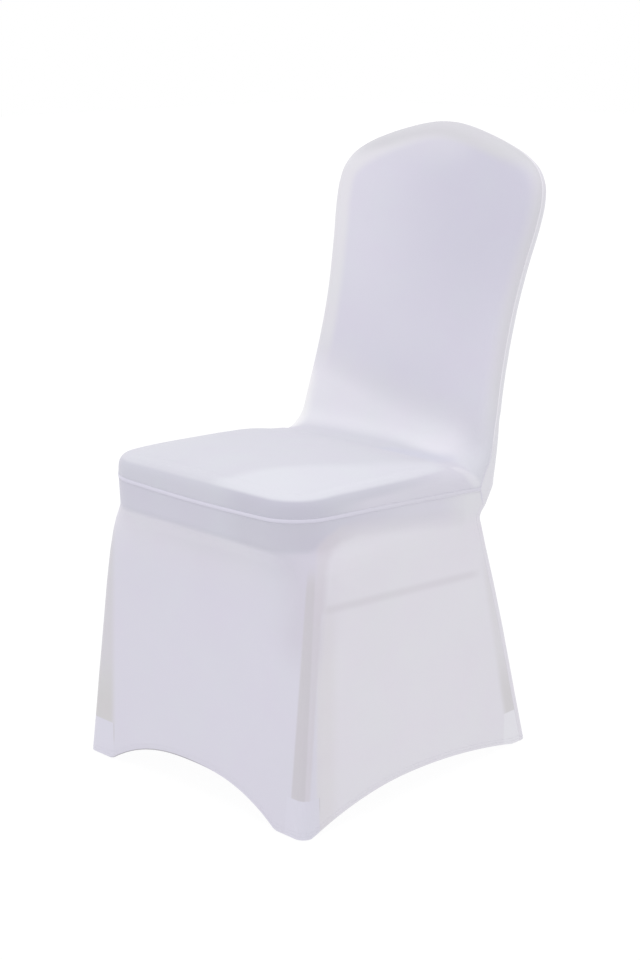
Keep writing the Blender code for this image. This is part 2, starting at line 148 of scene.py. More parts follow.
# %% Class for one material
class Paint:
    """One material and the nodes in it."""

    def __init__(self, name, roughness, sheen):
        self.material = bpy.data.materials.new(name)
        self.material.use_nodes = True
        self.tree = self.material.node_tree
        self.shader = self.tree.nodes["Principled BSDF"]
        self.shader.inputs["Roughness"].default_value = roughness
        self.shader.inputs["Sheen Weight"].default_value = sheen
        self.shader.inputs["Sheen Roughness"].default_value = 0.5
        self.shader.inputs["Specular IOR Level"].default_value = 0.2

    def node(self, kind, settings=None, sockets=None, output=0):
        made = self.tree.nodes.new(kind)
        for key, value in (settings or {}).items():
            setattr(made, key, value)
        for key, value in (sockets or {}).items():
            self.feed(made.inputs[key], value)
        return Term(self, made.outputs[output])

    def feed(self, socket, value):
        if isinstance(value, Term):
            self.tree.links.new(value.socket, socket)
        else:
            socket.default_value = value

    def vector(self, operation, first, second=(0.0, 0.0, 0.0), output=0):
        return self.node("ShaderNodeVectorMath", {"operation": operation},
                         {0: first, 1: second}, output)

    def split(self, vector):
        return [self.node("ShaderNodeSeparateXYZ", None, {0: vector}, i) for i in range(3)]

    def blend(self, share, first, second):
        """A colour between two, by a share from 0 to 1."""
        made = self.tree.nodes.new("ShaderNodeMix")
        made.data_type = "RGBA"
        for socket, value in ((made.inputs[0], share), (made.inputs[6], first),
                              (made.inputs[7], second)):
            if isinstance(value, tuple):
                value = (*value, 1.0)
            self.feed(socket, value)
        return Term(self, made.outputs[2])

    def place(self):
        return self.node("ShaderNodeTexCoord", None, None, 3)

    def on_cloth(self):
        return self.node("ShaderNodeUVMap", {"uv_map": "cloth"})

    def away_from(self, point, start, end):
        """Distance of a point from the straight line between two others."""
        start, end = np.array(start), np.array(end)
        whole = end - start
        from_start = self.vector("SUBTRACT", point, tuple(start))
        share = self.vector("DOT_PRODUCT", from_start, tuple(whole / (whole @ whole)), 1)
        share = self.node("ShaderNodeClamp", None, {0: share})
        reach = self.node("ShaderNodeVectorMath", {"operation": "SCALE"},
                          {0: tuple(whole), 3: share})
        return self.vector("DISTANCE", from_start, reach, 1)


print("shader sums ready")

# %% [markdown]
# Sizes of the cover, in metres: heights above the floor, y = 0 in the middle of the
# footprint. Nearly all are the named values that the solids were made from. A few edges
# are rounder here, as thin cloth is. ORIGIN, further down, moves everything to the
# frame's own origin, the point under the crown. First come the sizes of the back.

# %% Sizes of the back
CROWN_HEIGHT = 0.9485
BACK_LEAN = 0.250
BACK_FOOT_Y = 0.0650
BACK_HALF_DEPTH = 0.019
BACK_DOME = 0.005
EDGE_ROUND = 0.022
BACK_OUTLINE = [
    # half_width, height
    (0.2035, 0.440), (0.1975, 0.495), (0.1905, 0.560), (0.1872, 0.620), (0.1872, 0.665),
    (0.1893, 0.703), (0.1950, 0.757), (0.2013, 0.798), (0.2045, 0.829), (0.2040, 0.848),
    (0.2005, 0.866), (0.1910, 0.883), (0.1760, 0.8970), (0.1490, 0.9120), (0.1070, 0.9275),
    (0.0600, 0.9405), (0.0250, 0.9470), (0.0000, CROWN_HEIGHT),
]
SHOULDER_ROW = 11
SLAB_SEAM_Z = 0.532
print("back:", CROWN_HEIGHT, "m high, leaning", BACK_LEAN, "m for each metre of height")

# %% [markdown]
# The front corners of the seat are round, its top is domed, and its band ends at a seam
# that sags a little. From the band's rear corner a short side seam climbs to the back.

# %% Sizes of the seat
SEAT_FRONT_Y = -0.236
SEAT_HALF_WIDTH = 0.207
SEAT_REAR_HALF_WIDTH = 0.2045
SEAT_CORNER = 0.062
SEAT_TOP = 0.471
SEAT_FALL = 0.033
SEAT_DOME = 0.030
SEAT_DOME_BEND = 4.0
SEAT_DOME_LENGTH = 0.200
SEAT_DOME_FADE_Y = -0.010
SEAT_DOME_REAR = 0.15
CREASE_ROUND = 0.045
FRONT_SEAM_Z = 0.443
SEAM_BOW = 0.0054
BAND_FOOT_Z = 0.402
BAND_TURN_IN = 0.001
REAR_CORNER_Y = 0.149
REAR_CORNER_Z = 0.427
LOWER_SIDE_SEAM = [
    # seam_y, seam_z
    (0.156, 0.438), (0.164, 0.450), (0.175, 0.462), (0.184, 0.478), (0.190, 0.504),
]
print("seat:", 2 * SEAT_HALF_WIDTH, "m wide, its seam", FRONT_SEAM_Z, "m high in front")

# %% [markdown]
# The skirt is wider at the feet than at its top. Each arch of the hem has a half width, a
# rise, and a power that makes it squarer. The table of the fall says how soon the skirt
# leaves the band for the line of its corners, and how tight the corners become.

# %% Sizes of the skirt
TOP_HALF_WIDTH = 0.2232
TOP_FRONT_Y = -0.2115
TOP_REAR_HALF_WIDTH = 0.2045
FOOT_HALF_WIDTH = 0.2375
FOOT_FRONT_Y = -0.2535
FOOT_REAR_HALF_WIDTH = 0.2165
LEG_CORNER = 0.015
HEM_LOW = 0.002
SIDE_ARCH_MIDDLE_Y = -0.035
FRONT_ARCH = (0.181, 0.048, 2.5)
REAR_ARCH = (0.170, 0.044, 2.5)
SIDE_ARCH_FORWARD = (0.202, 0.032, 2.0)
SIDE_ARCH_BACKWARD = (0.262, 0.032, 2.0)
REAR_FACE = [
    # height, rear_y
    (0.000, 0.2615), (0.200, 0.2098), (0.386, 0.1548), (0.398, 0.1660), (0.412, 0.1825),
    (0.427, 0.1950), (0.450, 0.2025), (0.478, 0.2075), (0.504, 0.2125),
]
LEG_SEAM_IN = 0.0145
FALL_ROWS = [
    # share of the fall, share of the way from the band to the corner line, corner
    (0.000, 0.00, SEAT_CORNER), (0.035, 0.58, 0.046), (0.075, 0.84, 0.034),
    (0.125, 0.95, 0.026), (0.200, 1.00, 0.021), (0.350, 1.00, 0.018),
    (0.520, 1.00, 0.016), (0.690, 1.00, LEG_CORNER), (1.000, 1.00, LEG_CORNER),
]
POCKET_HEIGHT = 0.045
POCKET_HALF = 0.0155
POCKET_ROUND = 0.014
POCKET_CLEAR = 0.0004
print("skirt:", 2 * FOOT_HALF_WIDTH, "m wide at the front feet")

# %% [markdown]
# The last sizes are those of the cloth and the directions of the leaning back. The outer
# face of the cloth is half a sheet of the solids outside their middle, so both agree.

# %% Cloth and directions
HALF_SHEET = 0.001
CLOTH_THICKNESS = 0.0009
SEAM_GAP = 0.0003
SEAT_EDGE_FULL = 0.70
LEAN_ANGLE = atan(BACK_LEAN)
ACROSS = np.array([1.0, 0.0, 0.0])
BACK_UP = np.array([0.0, sin(LEAN_ANGLE), cos(LEAN_ANGLE)])
BACK_FORWARD = np.array([0.0, -cos(LEAN_ANGLE), sin(LEAN_ANGLE)])
MIRROR_X = np.array([-1.0, 1.0, 1.0])
UNDER_CROWN_Z = CROWN_HEIGHT - HALF_SHEET
ORIGIN = np.array([0.0, BACK_FOOT_Y + BACK_LEAN * UNDER_CROWN_Z, UNDER_CROWN_Z])
print("origin is", round(float(ORIGIN[2]), 4), "above the floor")

# %% [markdown]
# The floor is a plain pale sheet like a light table: it glows a little, so that only a
# faint shadow is left under the hem, as in a shop's picture. It isn't part of the cover.

# %% Floor
FLOOR_SIZE = 14.0
FLOOR_DROP = 0.0004
FLOOR_GLOW = 0.95
floor_mesh = bpy.data.meshes.new("floor")
floor_z = -float(ORIGIN[2]) - FLOOR_DROP
floor_mesh.from_pydata([(x * FLOOR_SIZE, y * FLOOR_SIZE, floor_z)
                        for x, y in ((-1, -1), (1, -1), (1, 1), (-1, 1))], [], [(0, 1, 2, 3)])
floor = bpy.data.objects.new("floor", floor_mesh)
bpy.context.collection.objects.link(floor)
floor_paint = Paint("pale_floor", 0.9, 0.0)
floor_paint.shader.inputs["Base Color"].default_value = (0.06, 0.06, 0.06, 1.0)
floor_paint.shader.inputs["Emission Color"].default_value = (1.0, 1.0, 1.0, 1.0)
floor_paint.shader.inputs["Emission Strength"].default_value = FLOOR_GLOW
floor_mesh.materials.append(floor_paint.material)
print("floor at", round(floor_z, 4))

# %% [markdown]
# The outline of a cut piece is given by few places. Curves and softened tables turn them
# into the smooth lines that cloth takes. Curve objects would do this too, but plain
# points are easier to join to nets.

# %% Smooth lines
CURVE_STEPS = 24
NEAR_SHARE = 0.01
BLUR_SAMPLES = 9


def between(low, high, share):
    return low + (high - low) * share


def smooth_curve(points):
    """Points on a Catmull-Rom curve through the given ones, mirrored past the last."""
    points = np.asarray(points, float)
    knots = np.vstack([2 * points[0] - points[1], points, points[-2] * (-1, 1)])
    curve = []
    for a, b, c, d in zip(knots, knots[1:], knots[2:], knots[3:]):
        for t in np.arange(CURVE_STEPS) / CURVE_STEPS:
            curve.append(b + 0.5 * t * (c - a + t * (2 * a - 5 * b + 4 * c - d
                                                     + t * (3 * (b - c) + d - a))))
    curve.append(points[-1])
    return np.array(curve)


def along(curve, shares):
    """Points at the given shares of a curve's length, and its direction there."""
    steps = np.linalg.norm(np.diff(curve, axis=0), axis=1)
    run = np.concatenate([[0.0], np.cumsum(steps)])
    at = np.asarray(shares) * run[-1]
    near = run[-1] * NEAR_SHARE

    def read(distance):
        distance = np.clip(distance, 0, run[-1])
        return np.stack([np.interp(distance, run, axis) for axis in curve.T], axis=-1)

    way = read(at + near) - read(at - near)
    return read(at), way / np.linalg.norm(way, axis=1)[:, None]


def soft_table(table, at, blur=0.0):
    """Columns of a table read at some places, its bends softened over a length."""
    table = np.asarray(table, float)
    at = np.atleast_1d(np.asarray(at, float))
    offsets = np.linspace(-blur, blur, BLUR_SAMPLES) if blur else np.zeros(1)
    columns = [np.mean([np.interp(at + o, table[:, 0], column) for o in offsets], axis=0)
               for column in table.T[1:]]
    return np.stack(columns, axis=-1)


print("steps between two places of a curve:", CURVE_STEPS)

# %% [markdown]
# A cut piece is drawn as a net of four-sided faces, one half mirrored to the other. A net
# is filled between four edges by a Coons patch, the rule a pattern cutter uses by eye.

# %% Nets between four edges
FRONT_STEPS = 30
ARC_STEPS = 14


def filled_net(low, high, left, right):
    """A Coons patch: rows of points between four edges that share their corners."""
    low, high, left, right = (np.asarray(edge, float) for edge in (low, high, left, right))
    straight = high if abs(high[0, 1] - high[len(high) // 2, 1]) < 1e-6 else low
    u = (straight[:, 0] - straight[0, 0]) / (straight[-1, 0] - straight[0, 0])
    steps = np.linalg.norm(np.diff(right, axis=0), axis=1)
    v = np.concatenate([[0.0], np.cumsum(steps)]) / steps.sum()
    u = u[None, :, None]
    v = v[:, None, None]
    ruled = between(low[None], high[None], v) + between(left[:, None], right[:, None], u)
    corners = between(between(low[0], low[-1], u), between(high[0], high[-1], u), v)
    return ruled - corners


def whole_row(half):
    """A row across the cover from its half that runs from the middle to +X."""
    half = np.asarray(half, float)
    left = half[:0:-1].copy()
    left[:, 0] *= -1
    return np.vstack([left, half])


def column_shares():
    """Where the columns of a face stand: 0 in the middle, 1 at its edge."""
    straight = SEAT_HALF_WIDTH - SEAT_CORNER
    edge = SEAT_HALF_WIDTH - EDGE_ROUND
    middle = np.linspace(0, straight, FRONT_STEPS + 1)
    rounded = np.linspace(straight, edge, ARC_STEPS + 1)[1:]
    return np.concatenate([middle, rounded]) / edge


print("columns across a face:", 2 * len(column_shares()) - 1)

# %% [markdown]
# Seen from above, the seat and every row of the skirt are outlines of one kind: straight
# in front, round at the corner, and straight along the side. All have the same steps, so
# that rows join point by point.

# %% Outlines seen from above
SIDE_STEPS = 44
FRONT_SHARE = np.concatenate([np.linspace(0, 1, FRONT_STEPS + 1),
                              np.ones(2 * ARC_STEPS + SIDE_STEPS)])
CORNER_ANGLE = np.concatenate([np.full(FRONT_STEPS, -pi / 2),
                               np.linspace(-pi / 2, 0, 2 * ARC_STEPS + 1),
                               np.zeros(SIDE_STEPS)])
SIDE_SHARE = np.concatenate([np.zeros(FRONT_STEPS + 2 * ARC_STEPS),
                             np.linspace(0, 1, SIDE_STEPS + 1)])
PLAN_WAYS = np.stack([np.cos(CORNER_ANGLE), np.sin(CORNER_ANGLE)], axis=1)


def plan_section(half_width, rear_half_width, front_y, rear_y, corner):
    """Half an outline seen from above, from the front's middle round to the rear."""
    x = (FRONT_SHARE * (half_width - corner) + corner * PLAN_WAYS[:, 0]
         + (rear_half_width - half_width) * SIDE_SHARE)
    y = (front_y + corner + corner * PLAN_WAYS[:, 1]
         + (rear_y - front_y - corner) * SIDE_SHARE)
    return np.stack([x, y], axis=1)


print("points on half an outline:", len(PLAN_WAYS))

# %% [markdown]
# Worn cloth is never quite even. The main creases are soft troughs and ridges along
# listed lines: the valley across the seat, the pulls that start at the rear corners and at
# the front corners of the band. Depth is along the cloth's own normal, so that
# neighbouring pieces move together at their seam.

# %% Creases
CREASES = [
    # height of the ridge (a trough is below 0), half width, points (x, y, z)
    (-0.0012, 0.016, [(-0.13, 0.086, 0.476), (-0.02, 0.104, 0.475), (0.087, 0.101, 0.474),
                      (0.205, 0.078, 0.470)]),
    (-0.0008, 0.007, [(0.214, 0.050, 0.452), (0.210, 0.110, 0.440), (0.206, 0.150, 0.430)]),
    (-0.0008, 0.007, [(-0.214, 0.064, 0.452), (-0.210, 0.115, 0.440), (-0.206, 0.150, 0.430)]),
    (0.0010, 0.006, [(0.212, 0.090, 0.450), (0.200, 0.118, 0.458), (0.184, 0.140, 0.470)]),
    (-0.0008, 0.005, [(0.212, 0.108, 0.442), (0.204, 0.130, 0.448), (0.192, 0.150, 0.462)]),
    (-0.0012, 0.012, [(0.150, -0.214, 0.386), (0.060, -0.214, 0.374), (-0.06, -0.214, 0.379)]),
    (0.0010, 0.014, [(0.214, -0.216, 0.380), (0.190, -0.220, 0.330), (0.170, -0.228, 0.270)]),
    (-0.0008, 0.014, [(0.190, -0.222, 0.360), (0.160, -0.224, 0.300), (0.150, -0.232, 0.220)]),
    (0.0008, 0.014, [(-0.214, -0.216, 0.380), (-0.185, -0.221, 0.320), (-0.168, -0.228, 0.260)]),
    (0.0010, 0.012, [(0.222, -0.200, 0.384), (0.222, -0.150, 0.345), (0.224, -0.100, 0.300)]),
    (-0.0010, 0.012, [(0.205, 0.150, 0.386), (0.212, 0.080, 0.350), (0.220, 0.000, 0.310)]),
    (0.0007, 0.010, [(0.206, 0.160, 0.370), (0.212, 0.120, 0.290), (0.218, 0.100, 0.200)]),
    (-0.0010, 0.012, [(-0.205, 0.150, 0.386), (-0.212, 0.090, 0.345), (-0.22, 0.020, 0.300)]),
    (-0.0010, 0.014, [(0.150, 0.158, 0.385), (0.050, 0.160, 0.374), (-0.07, 0.160, 0.378)]),
    (0.0010, 0.012, [(0.185, 0.162, 0.375), (0.160, 0.175, 0.320), (0.150, 0.194, 0.250)]),
    (0.0010, 0.012, [(-0.185, 0.162, 0.375), (-0.165, 0.176, 0.315), (-0.15, 0.198, 0.240)]),
]
UNEVEN_HEIGHT = 0.0007
UNEVEN_SCALE = 9.0
FAR_OFF = 9.0
LEAST_REACH = 0.06


def crease_heights(points):
    """How far each point is lifted by the creases and by the cloth's small unevenness."""
    points = np.asarray(points, float)
    lift = np.array([noise.noise(Vector(p) * UNEVEN_SCALE) for p in points]) * UNEVEN_HEIGHT
    for height, width, path in CREASES:
        path = np.array(path)
        best = np.full(len(points), FAR_OFF)
        reach = np.zeros(len(points))
        for i, (a, b) in enumerate(zip(path, path[1:])):
            share = np.clip((points - a) @ (b - a) / ((b - a) @ (b - a)), 0, 1)
            away = np.linalg.norm(points - a - share[:, None] * (b - a), axis=1)
            closer = away < best
            best[closer] = away[closer]
            reach[closer] = (i + share[closer]) / (len(path) - 1)
        reach = np.clip(reach, LEAST_REACH, 1 - LEAST_REACH)
        lift += height * np.exp(-(best / width) ** 2) * np.sin(pi * reach)
    return lift


print("creases placed:", len(CREASES))

# %% [markdown]
# Every finished piece is a mesh object at the cover's origin, unturned and unscaled, with
# its place in its mesh. Its map gives the run of the cloth in metres, for the knit.

# %% From points to an object
CRISP_ANGLE = pi / 3


def mark_points(obj, label, values):
    """A number at each point of a mesh, which a material reads by its name."""
    mark = obj.data.attributes.new(label, "FLOAT", "POINT")
    mark.data.foreach_set("value", values)


def put_down(name, mesh):
    """An object for a finished mesh, at the cover's origin."""
    mesh.name = name
    obj = bpy.data.objects.new(name, mesh)
    bpy.context.collection.objects.link(obj)
    print(name, len(mesh.polygons), "faces")
    return obj


def mesh_piece(name, points, faces, paint, flat_map, crisp=True):
    """A smooth mesh object from points on the floor frame, with the cloth's own map."""
    mesh = bpy.data.meshes.new(name)
    mesh.from_pydata((np.asarray(points) - ORIGIN).tolist(), [],
                     faces if isinstance(faces, list) else faces.tolist())
    corners = np.zeros(len(mesh.loops), int)
    mesh.loops.foreach_get("vertex_index", corners)
    layer = mesh.uv_layers.new(name="cloth")
    layer.data.foreach_set("uv", np.asarray(flat_map)[corners].ravel())
    mesh.shade_smooth()
    if crisp:
        mesh.set_sharp_from_angle(angle=CRISP_ANGLE)
    mesh.materials.append(paint.material)
    return put_down(name, mesh)


print("edges that turn by more than", round(np.degrees(CRISP_ANGLE)), "degrees stay crisp")

# %% [markdown]
# Stretched cloth is smooth wherever nothing holds it. A net is relaxed by moving each
# point part of the way to the mean of its neighbours. One step in and one a little longer
# step out smooth it without shrinking it. Blender's cloth solver could drape the cloth,
# but its result is harder to hold to the sizes.

# %% Relaxing a net
RELAX_PASSES = 8
RELAX_IN = 0.5
RELAX_OUT = -0.52
EASE_PASSES = 120
EASE_STEP = 0.5


def relaxed(points, edges, held, steps):
    """The points after all steps, those held not moved."""
    count = np.bincount(edges.ravel(), minlength=len(points))[:, None]
    for step in steps:
        total = np.zeros_like(points)
        np.add.at(total, edges[:, 0], points[edges[:, 1]])
        np.add.at(total, edges[:, 1], points[edges[:, 0]])
        move = (total / count - points) * step
        move[held] = 0
        points = points + move
    return points


print("passes:", RELAX_PASSES, "and, over a hollow,", EASE_PASSES, "more")

# %% [markdown]
# A Cloth collects the net of one cut piece. Its edges at a seam keep the normal of the
# whole cover there, so that two pieces meet in one smooth surface. The net is relaxed and
# creased, and gets its thickness last: a second layer of the same faces, turned inward,
# and a rim between the two. A Solidify modifier would find other normals at the seams,
# and neighbouring pieces would no longer meet there.

# %% Class for a cut piece
ROUND_STEPS = 10
ROUND_SHARE = 0.8
STRAIGHT_SHARES = (0.87, 0.94)


class Cloth:
    def __init__(self):
        self.points = []
        self.faces = []
        self.seam_normals = {}

    def add_row(self, row):
        first = len(self.points)
        self.points.extend(np.asarray(row, float))
        return list(range(first, len(self.points)))

    def join_rows(self, rows, turned=False):
        for low, high in zip(rows, rows[1:]):
            for i in range(len(low) - 1):
                quad = (low[i], low[i + 1], high[i + 1], high[i])
                self.faces.append(quad[::-1] if turned else quad)

    def add_net(self, net, turned=False):
        rows = [self.add_row(row) for row in net]
        self.join_rows(rows, turned)
        return rows

    def round_to_seam(self, edge_ids, stations, turned=False, closed=False):
        """From a face's edge a quarter round, then straight on to the seam."""
        edge = np.array([self.points[i] for i in edge_ids])
        seam = np.array([station.seam for station in stations])
        side = np.array([station.side for station in stations])
        drop = seam - edge - side
        full = np.array([station.full for station in stations])[:, None]
        rings = [list(edge_ids)]
        for angle in np.linspace(0, pi / 2, ROUND_STEPS + 1)[1:]:
            rings.append(self.add_row(edge + side * sin(angle) ** full
                                      + drop * ROUND_SHARE * (1 - max(cos(angle), 0) ** full)))
        for share in STRAIGHT_SHARES:
            rings.append(self.add_row(edge + side + drop * share))
        away = drop / np.linalg.norm(drop, axis=1)[:, None]
        ring = self.add_row(seam - away * SEAM_GAP / 2)
        for index, station in zip(ring, stations):
            self.seam_normals[index] = station.outward
        rings.append(ring)
        nets = [ring + ring[:1] for ring in rings] if closed else rings
        self.join_rows(nets, turned)
        return rings

    def settle(self, ease=None):
        """Relax the net, keep its borders, find the normals, and add the creases.

        ease gives the share of a step by which points may still sink together after
        that, where the cloth spans a hollow.
        """
        points = np.array(self.points)
        faces = np.array(self.faces)
        sides = np.vstack([faces[:, [i, (i + 1) % 4]] for i in range(4)])
        edges, counts = np.unique(np.sort(sides, axis=1), axis=0, return_counts=True)
        rim = edges[counts == 1]
        held = np.zeros(len(points), bool)
        held[rim.ravel()] = True
        rim_set = set(map(tuple, rim.tolist()))
        self.border = [(a, b) for a, b in sides.tolist() if (min(a, b), max(a, b)) in rim_set]
        steps = [RELAX_IN, RELAX_OUT] * RELAX_PASSES
        if ease is not None:
            steps += [EASE_STEP * ease(points)[:, None]] * EASE_PASSES
        points = relaxed(points, edges, held, steps)
        normals = self.find_normals(points, faces)
        points = points + normals * crease_heights(points)[:, None]
        self.middle = points
        self.normals = self.find_normals(points, faces)
        self.faces = faces

    def find_normals(self, points, faces):
        a, b, c, d = (points[faces[:, i]] for i in range(4))
        face_normals = np.cross(c - a, d - b)
        normals = np.zeros_like(points)
        for i in range(4):
            np.add.at(normals, faces[:, i], face_normals)
        for index, outward in self.seam_normals.items():
            normals[index] = outward
        return normals / np.linalg.norm(normals, axis=1)[:, None]

    def piece(self, name, flat_map, paint, marks=None):
        """The closed thin sheet, with the cloth's own map in metres."""
        outer = self.middle + self.normals * HALF_SHEET
        inner = outer - self.normals * CLOTH_THICKNESS
        count = len(outer)
        rim = [(b, a, a + count, b + count) for a, b in self.border]
        faces = np.vstack([self.faces, self.faces[:, ::-1] + count, np.array(rim)])
        obj = mesh_piece(name, np.vstack([outer, inner]), faces, paint,
                         np.vstack([flat_map(self.middle)] * 2))
        for label, values in (marks or {}).items():
            mark_points(obj, label, np.concatenate([values, values]))
        return obj


print("cut pieces get", CLOTH_THICKNESS * 1000, "mm of cloth")

# %% [markdown]
# Where two faces of the cover meet, their edges are round. A Station is one place along
# such a seam: the seam itself, the edge of the face beside it, and the way outward. The
# net of a face is carried from its edge over the round to the seam, station by station.

# %% Class for a place on a seam
class Station:
    """One place on a seam, with the face edge that rounds over to it."""

    def __init__(self, edge, seam, outward, size, full=1.0):
        self.full = full
        self.edge = np.asarray(edge, float)
        self.seam = np.asarray(seam, float)
        self.outward = np.asarray(outward, float)
        self.side = self.outward * size

    def mirrored(self):
        other = Station(self.edge * MIRROR_X, self.seam * MIRROR_X, self.outward * MIRROR_X, 0,
                        self.full)
        other.side = self.side * MIRROR_X
        return other


print("edges of the cover are rounded by", EDGE_ROUND * 1000, "mm")

# %% [markdown]
# The stretch knit is a fine jersey: tiny upright ribs, a soft sheen, and no pattern that
# can be seen from a step away. Two sine waves along the cloth's own map make the ribs and
# the courses, as a bump. Soft noises in tone and hue keep the wide areas from looking like
# plastic. Sheen in the shader lightens the cloth where it turns away.

# %% Knit and sheen
CLOTH_ROUGHNESS = 0.75
CLOTH_SHEEN = 0.25
RIB_PITCH = 0.0011
COURSE_PITCH = 0.0015
KNIT_DEPTH = 0.00008
KNIT_STRENGTH = 0.25
TONE_CLOUDS = 0.035
HUE_CLOUDS = 0.045
KNIT_SHADE = 0.006


def wave(paint, run):
    return paint.node("ShaderNodeMath", {"operation": "SINE"}, {0: run})


def clouds(paint, scale, detail=2.0):
    return paint.node("ShaderNodeTexNoise", None,
                      {"Vector": paint.place(), "Scale": scale, "Detail": detail})


def knit(paint):
    """Ribs and courses of the knit, as a fine relief along the cloth's own map."""
    u, v, _ = paint.split(paint.on_cloth())
    rib = wave(paint, u * (2 * pi / RIB_PITCH))
    course = wave(paint, v * (2 * pi / COURSE_PITCH) + rib * 0.6)
    relief = rib * 0.6 + course * 0.4
    bump = paint.node("ShaderNodeBump", None,
                      {"Height": relief, "Strength": KNIT_STRENGTH, "Distance": KNIT_DEPTH})
    paint.feed(paint.shader.inputs["Normal"], bump)
    return relief


def finish_cloth(paint, colour):
    """Feed a colour to the cloth, with its knit and soft clouds of tone and hue."""
    relief = knit(paint)
    shade = 1.0 + (clouds(paint, 7.0, 3.0) - 0.5) * TONE_CLOUDS + relief * KNIT_SHADE
    green = shade * (1.0 - (clouds(paint, 16.0) - 0.5) * HUE_CLOUDS)
    grey = paint.node("ShaderNodeCombineXYZ", None, {0: shade, 1: green, 2: shade})
    paint.feed(paint.shader.inputs["Base Color"], paint.vector("MULTIPLY", colour, grey))
    paint.feed(paint.shader.inputs["Roughness"], 0.72 + clouds(paint, 20.0) * 0.12)


print("knit:", RIB_PITCH * 1000, "by", COURSE_PITCH * 1000, "mm")

# %% [markdown]
# The cloth is white throughout, but it is a little sheer, so that what lies close behind
# it shades it. The cover is modelled empty, and those shades are painted on by place. So
# are painted light and shade: painted highlights where the cloth faces the lamp, painted
# shade in its hollows, on the band and under it. All are coats of tone laid one over the
# other. Each coat has a soft mask, a number from 0 to 1 made from places on the cover in
# metres: x across, depth to the rear, height above the floor. Image textures would do it
# too, but a mask keeps its sizes in sight.

# %% Coats of tone
def local(point):
    """A place on the floor frame, moved to the cover's own frame."""
    return tuple(float(v) for v in np.asarray(point) - ORIGIN)


def floor_places(paint):
    """Across, depth and height of a place, counted as in the table of sizes."""
    x, y, z = paint.split(paint.place())
    return x, y + float(ORIGIN[1]), z + float(ORIGIN[2])


class Coats:
    """The tones of one cloth, laid one over the other."""

    def __init__(self, name, tone):
        self.paint = Paint(name, CLOTH_ROUGHNESS, CLOTH_SHEEN)
        self.floor = floor_places(self.paint)
        self.colour = tone

    def lay(self, share, tone):
        self.colour = self.paint.blend(share, self.colour, tone)

    def away(self, start, end):
        """Distance from the straight line between two places."""
        return self.paint.away_from(self.paint.place(), local(start), local(end))

    def mark(self, label):
        """The number that the mesh holds at each of its points under this name."""
        return self.paint.node("ShaderNodeAttribute", {"attribute_name": label}, None, 2)

    def finish(self):
        finish_cloth(self.paint, self.colour)
        print(self.paint.material.name, "has", len(self.paint.tree.nodes), "nodes")


print("origin in the cover's own frame:", local(ORIGIN))

# %% [markdown]
# The seat is a light bluish grey. A painted highlight lies along the swollen front corner,
# which faces the light, and painted light is brightest where the cloth bridges the hollow
# from the seat up to the back. In front of that bridge runs a shallow valley, painted
# darker as shade.

# %% Tones of the seat
SEAT_TONE = (0.603, 0.600, 0.664)
SWELL_HIGHLIGHT_TONE = (0.655, 0.656, 0.717)
SPAN_LIGHT_TONE = (0.716, 0.706, 0.766)
VALLEY_SHADE_TONE = (0.588, 0.590, 0.676)
VALLEY_LINE = ((0.060, 0.105, 0.474), (0.150, 0.125, 0.466))

front_coats = Coats("front_cloth", SEAT_TONE)
x, depth, height = front_coats.floor
swell_edge = 0.157 - 1.84 * (depth - 0.03) * (depth - 0.03)
swell_highlight = (x - swell_edge).rise(-0.018, 0.018) * depth.rise(0.150, 0.112) * x.rise(0.0, 0.08)
front_coats.lay(swell_highlight, SWELL_HIGHLIGHT_TONE)
right_part, left_part = x.most(0.0), (0.0 - x).most(0.0)
over_span = height - (0.5235 - 0.125 * x) - left_part * 0.10
span_foot = 0.150 - right_part * right_part * 1.1
span_light = (depth - span_foot).rise(-0.013, 0.012) * x.rise(0.200, 0.125)
front_coats.lay(span_light * over_span.rise(0.060, -0.020), SPAN_LIGHT_TONE)
front_coats.lay(front_coats.away(*VALLEY_LINE).rise(0.034, 0.004), VALLEY_SHADE_TONE)
print("valley of", VALLEY_LINE)

# %% [markdown]
# On the inside back the cloth is bluish where it is pressed from behind, and paler in a
# rim along its seam, where nothing presses. Painted shade darkens the rim on the right and
# the pressed part towards the upper right, and a painted highlight lights the left end of
# the bend. No simple formula follows that outline, so the mesh itself holds at each point
# how far it is from the seam, as from_seam.

# %% Tones of the inside back
RIM_TONE = (0.668, 0.657, 0.701)
RIGHT_RIM_SHADE_TONE = (0.612, 0.600, 0.650)
CROWN_RIM_TONE = (0.572, 0.564, 0.602)
LEFT_END_HIGHLIGHT_TONE = (0.800, 0.792, 0.815)
PRESSED_TONE = (0.612, 0.598, 0.684)
PRESSED_TOP_TONE = (0.592, 0.578, 0.655)
PRESSED_SHADE_TONE = (0.542, 0.528, 0.622)
SHADE_LINE = ((0.135, 0.258, 0.840), (0.110, 0.270, 0.880))
RIM_WIDTH = 0.032

on_back_rest = over_span.rise(-0.020, 0.060) * depth.rise(0.12, 0.13)
front_coats.lay(on_back_rest,
                front_coats.paint.blend(x.rise(0.05, 0.17), RIM_TONE, RIGHT_RIM_SHADE_TONE))
left_end_highlight = x.rise(-0.160, -0.190) * depth.rise(0.120, 0.145) * over_span.rise(0.0, -0.03)
front_coats.lay(left_end_highlight, LEFT_END_HIGHLIGHT_TONE)
pressed = front_coats.paint.blend(front_coats.away(*SHADE_LINE).rise(0.30, 0.02),
                                  PRESSED_TONE, PRESSED_SHADE_TONE)
pressed = front_coats.paint.blend(height.rise(0.87, 0.93) * x.rise(0.11, 0.02),
                                  pressed, PRESSED_TOP_TONE)
to_seam = front_coats.mark("from_seam")
inside_rim = to_seam - RIM_WIDTH + x * 0.080
front_coats.lay(on_back_rest * inside_rim.rise(-0.010, 0.009), pressed)
front_coats.lay(height.rise(0.880, 0.915) * to_seam.rise(0.040, 0.024), CROWN_RIM_TONE)
print("rim of the back:", RIM_WIDTH * 1000, "mm wide")
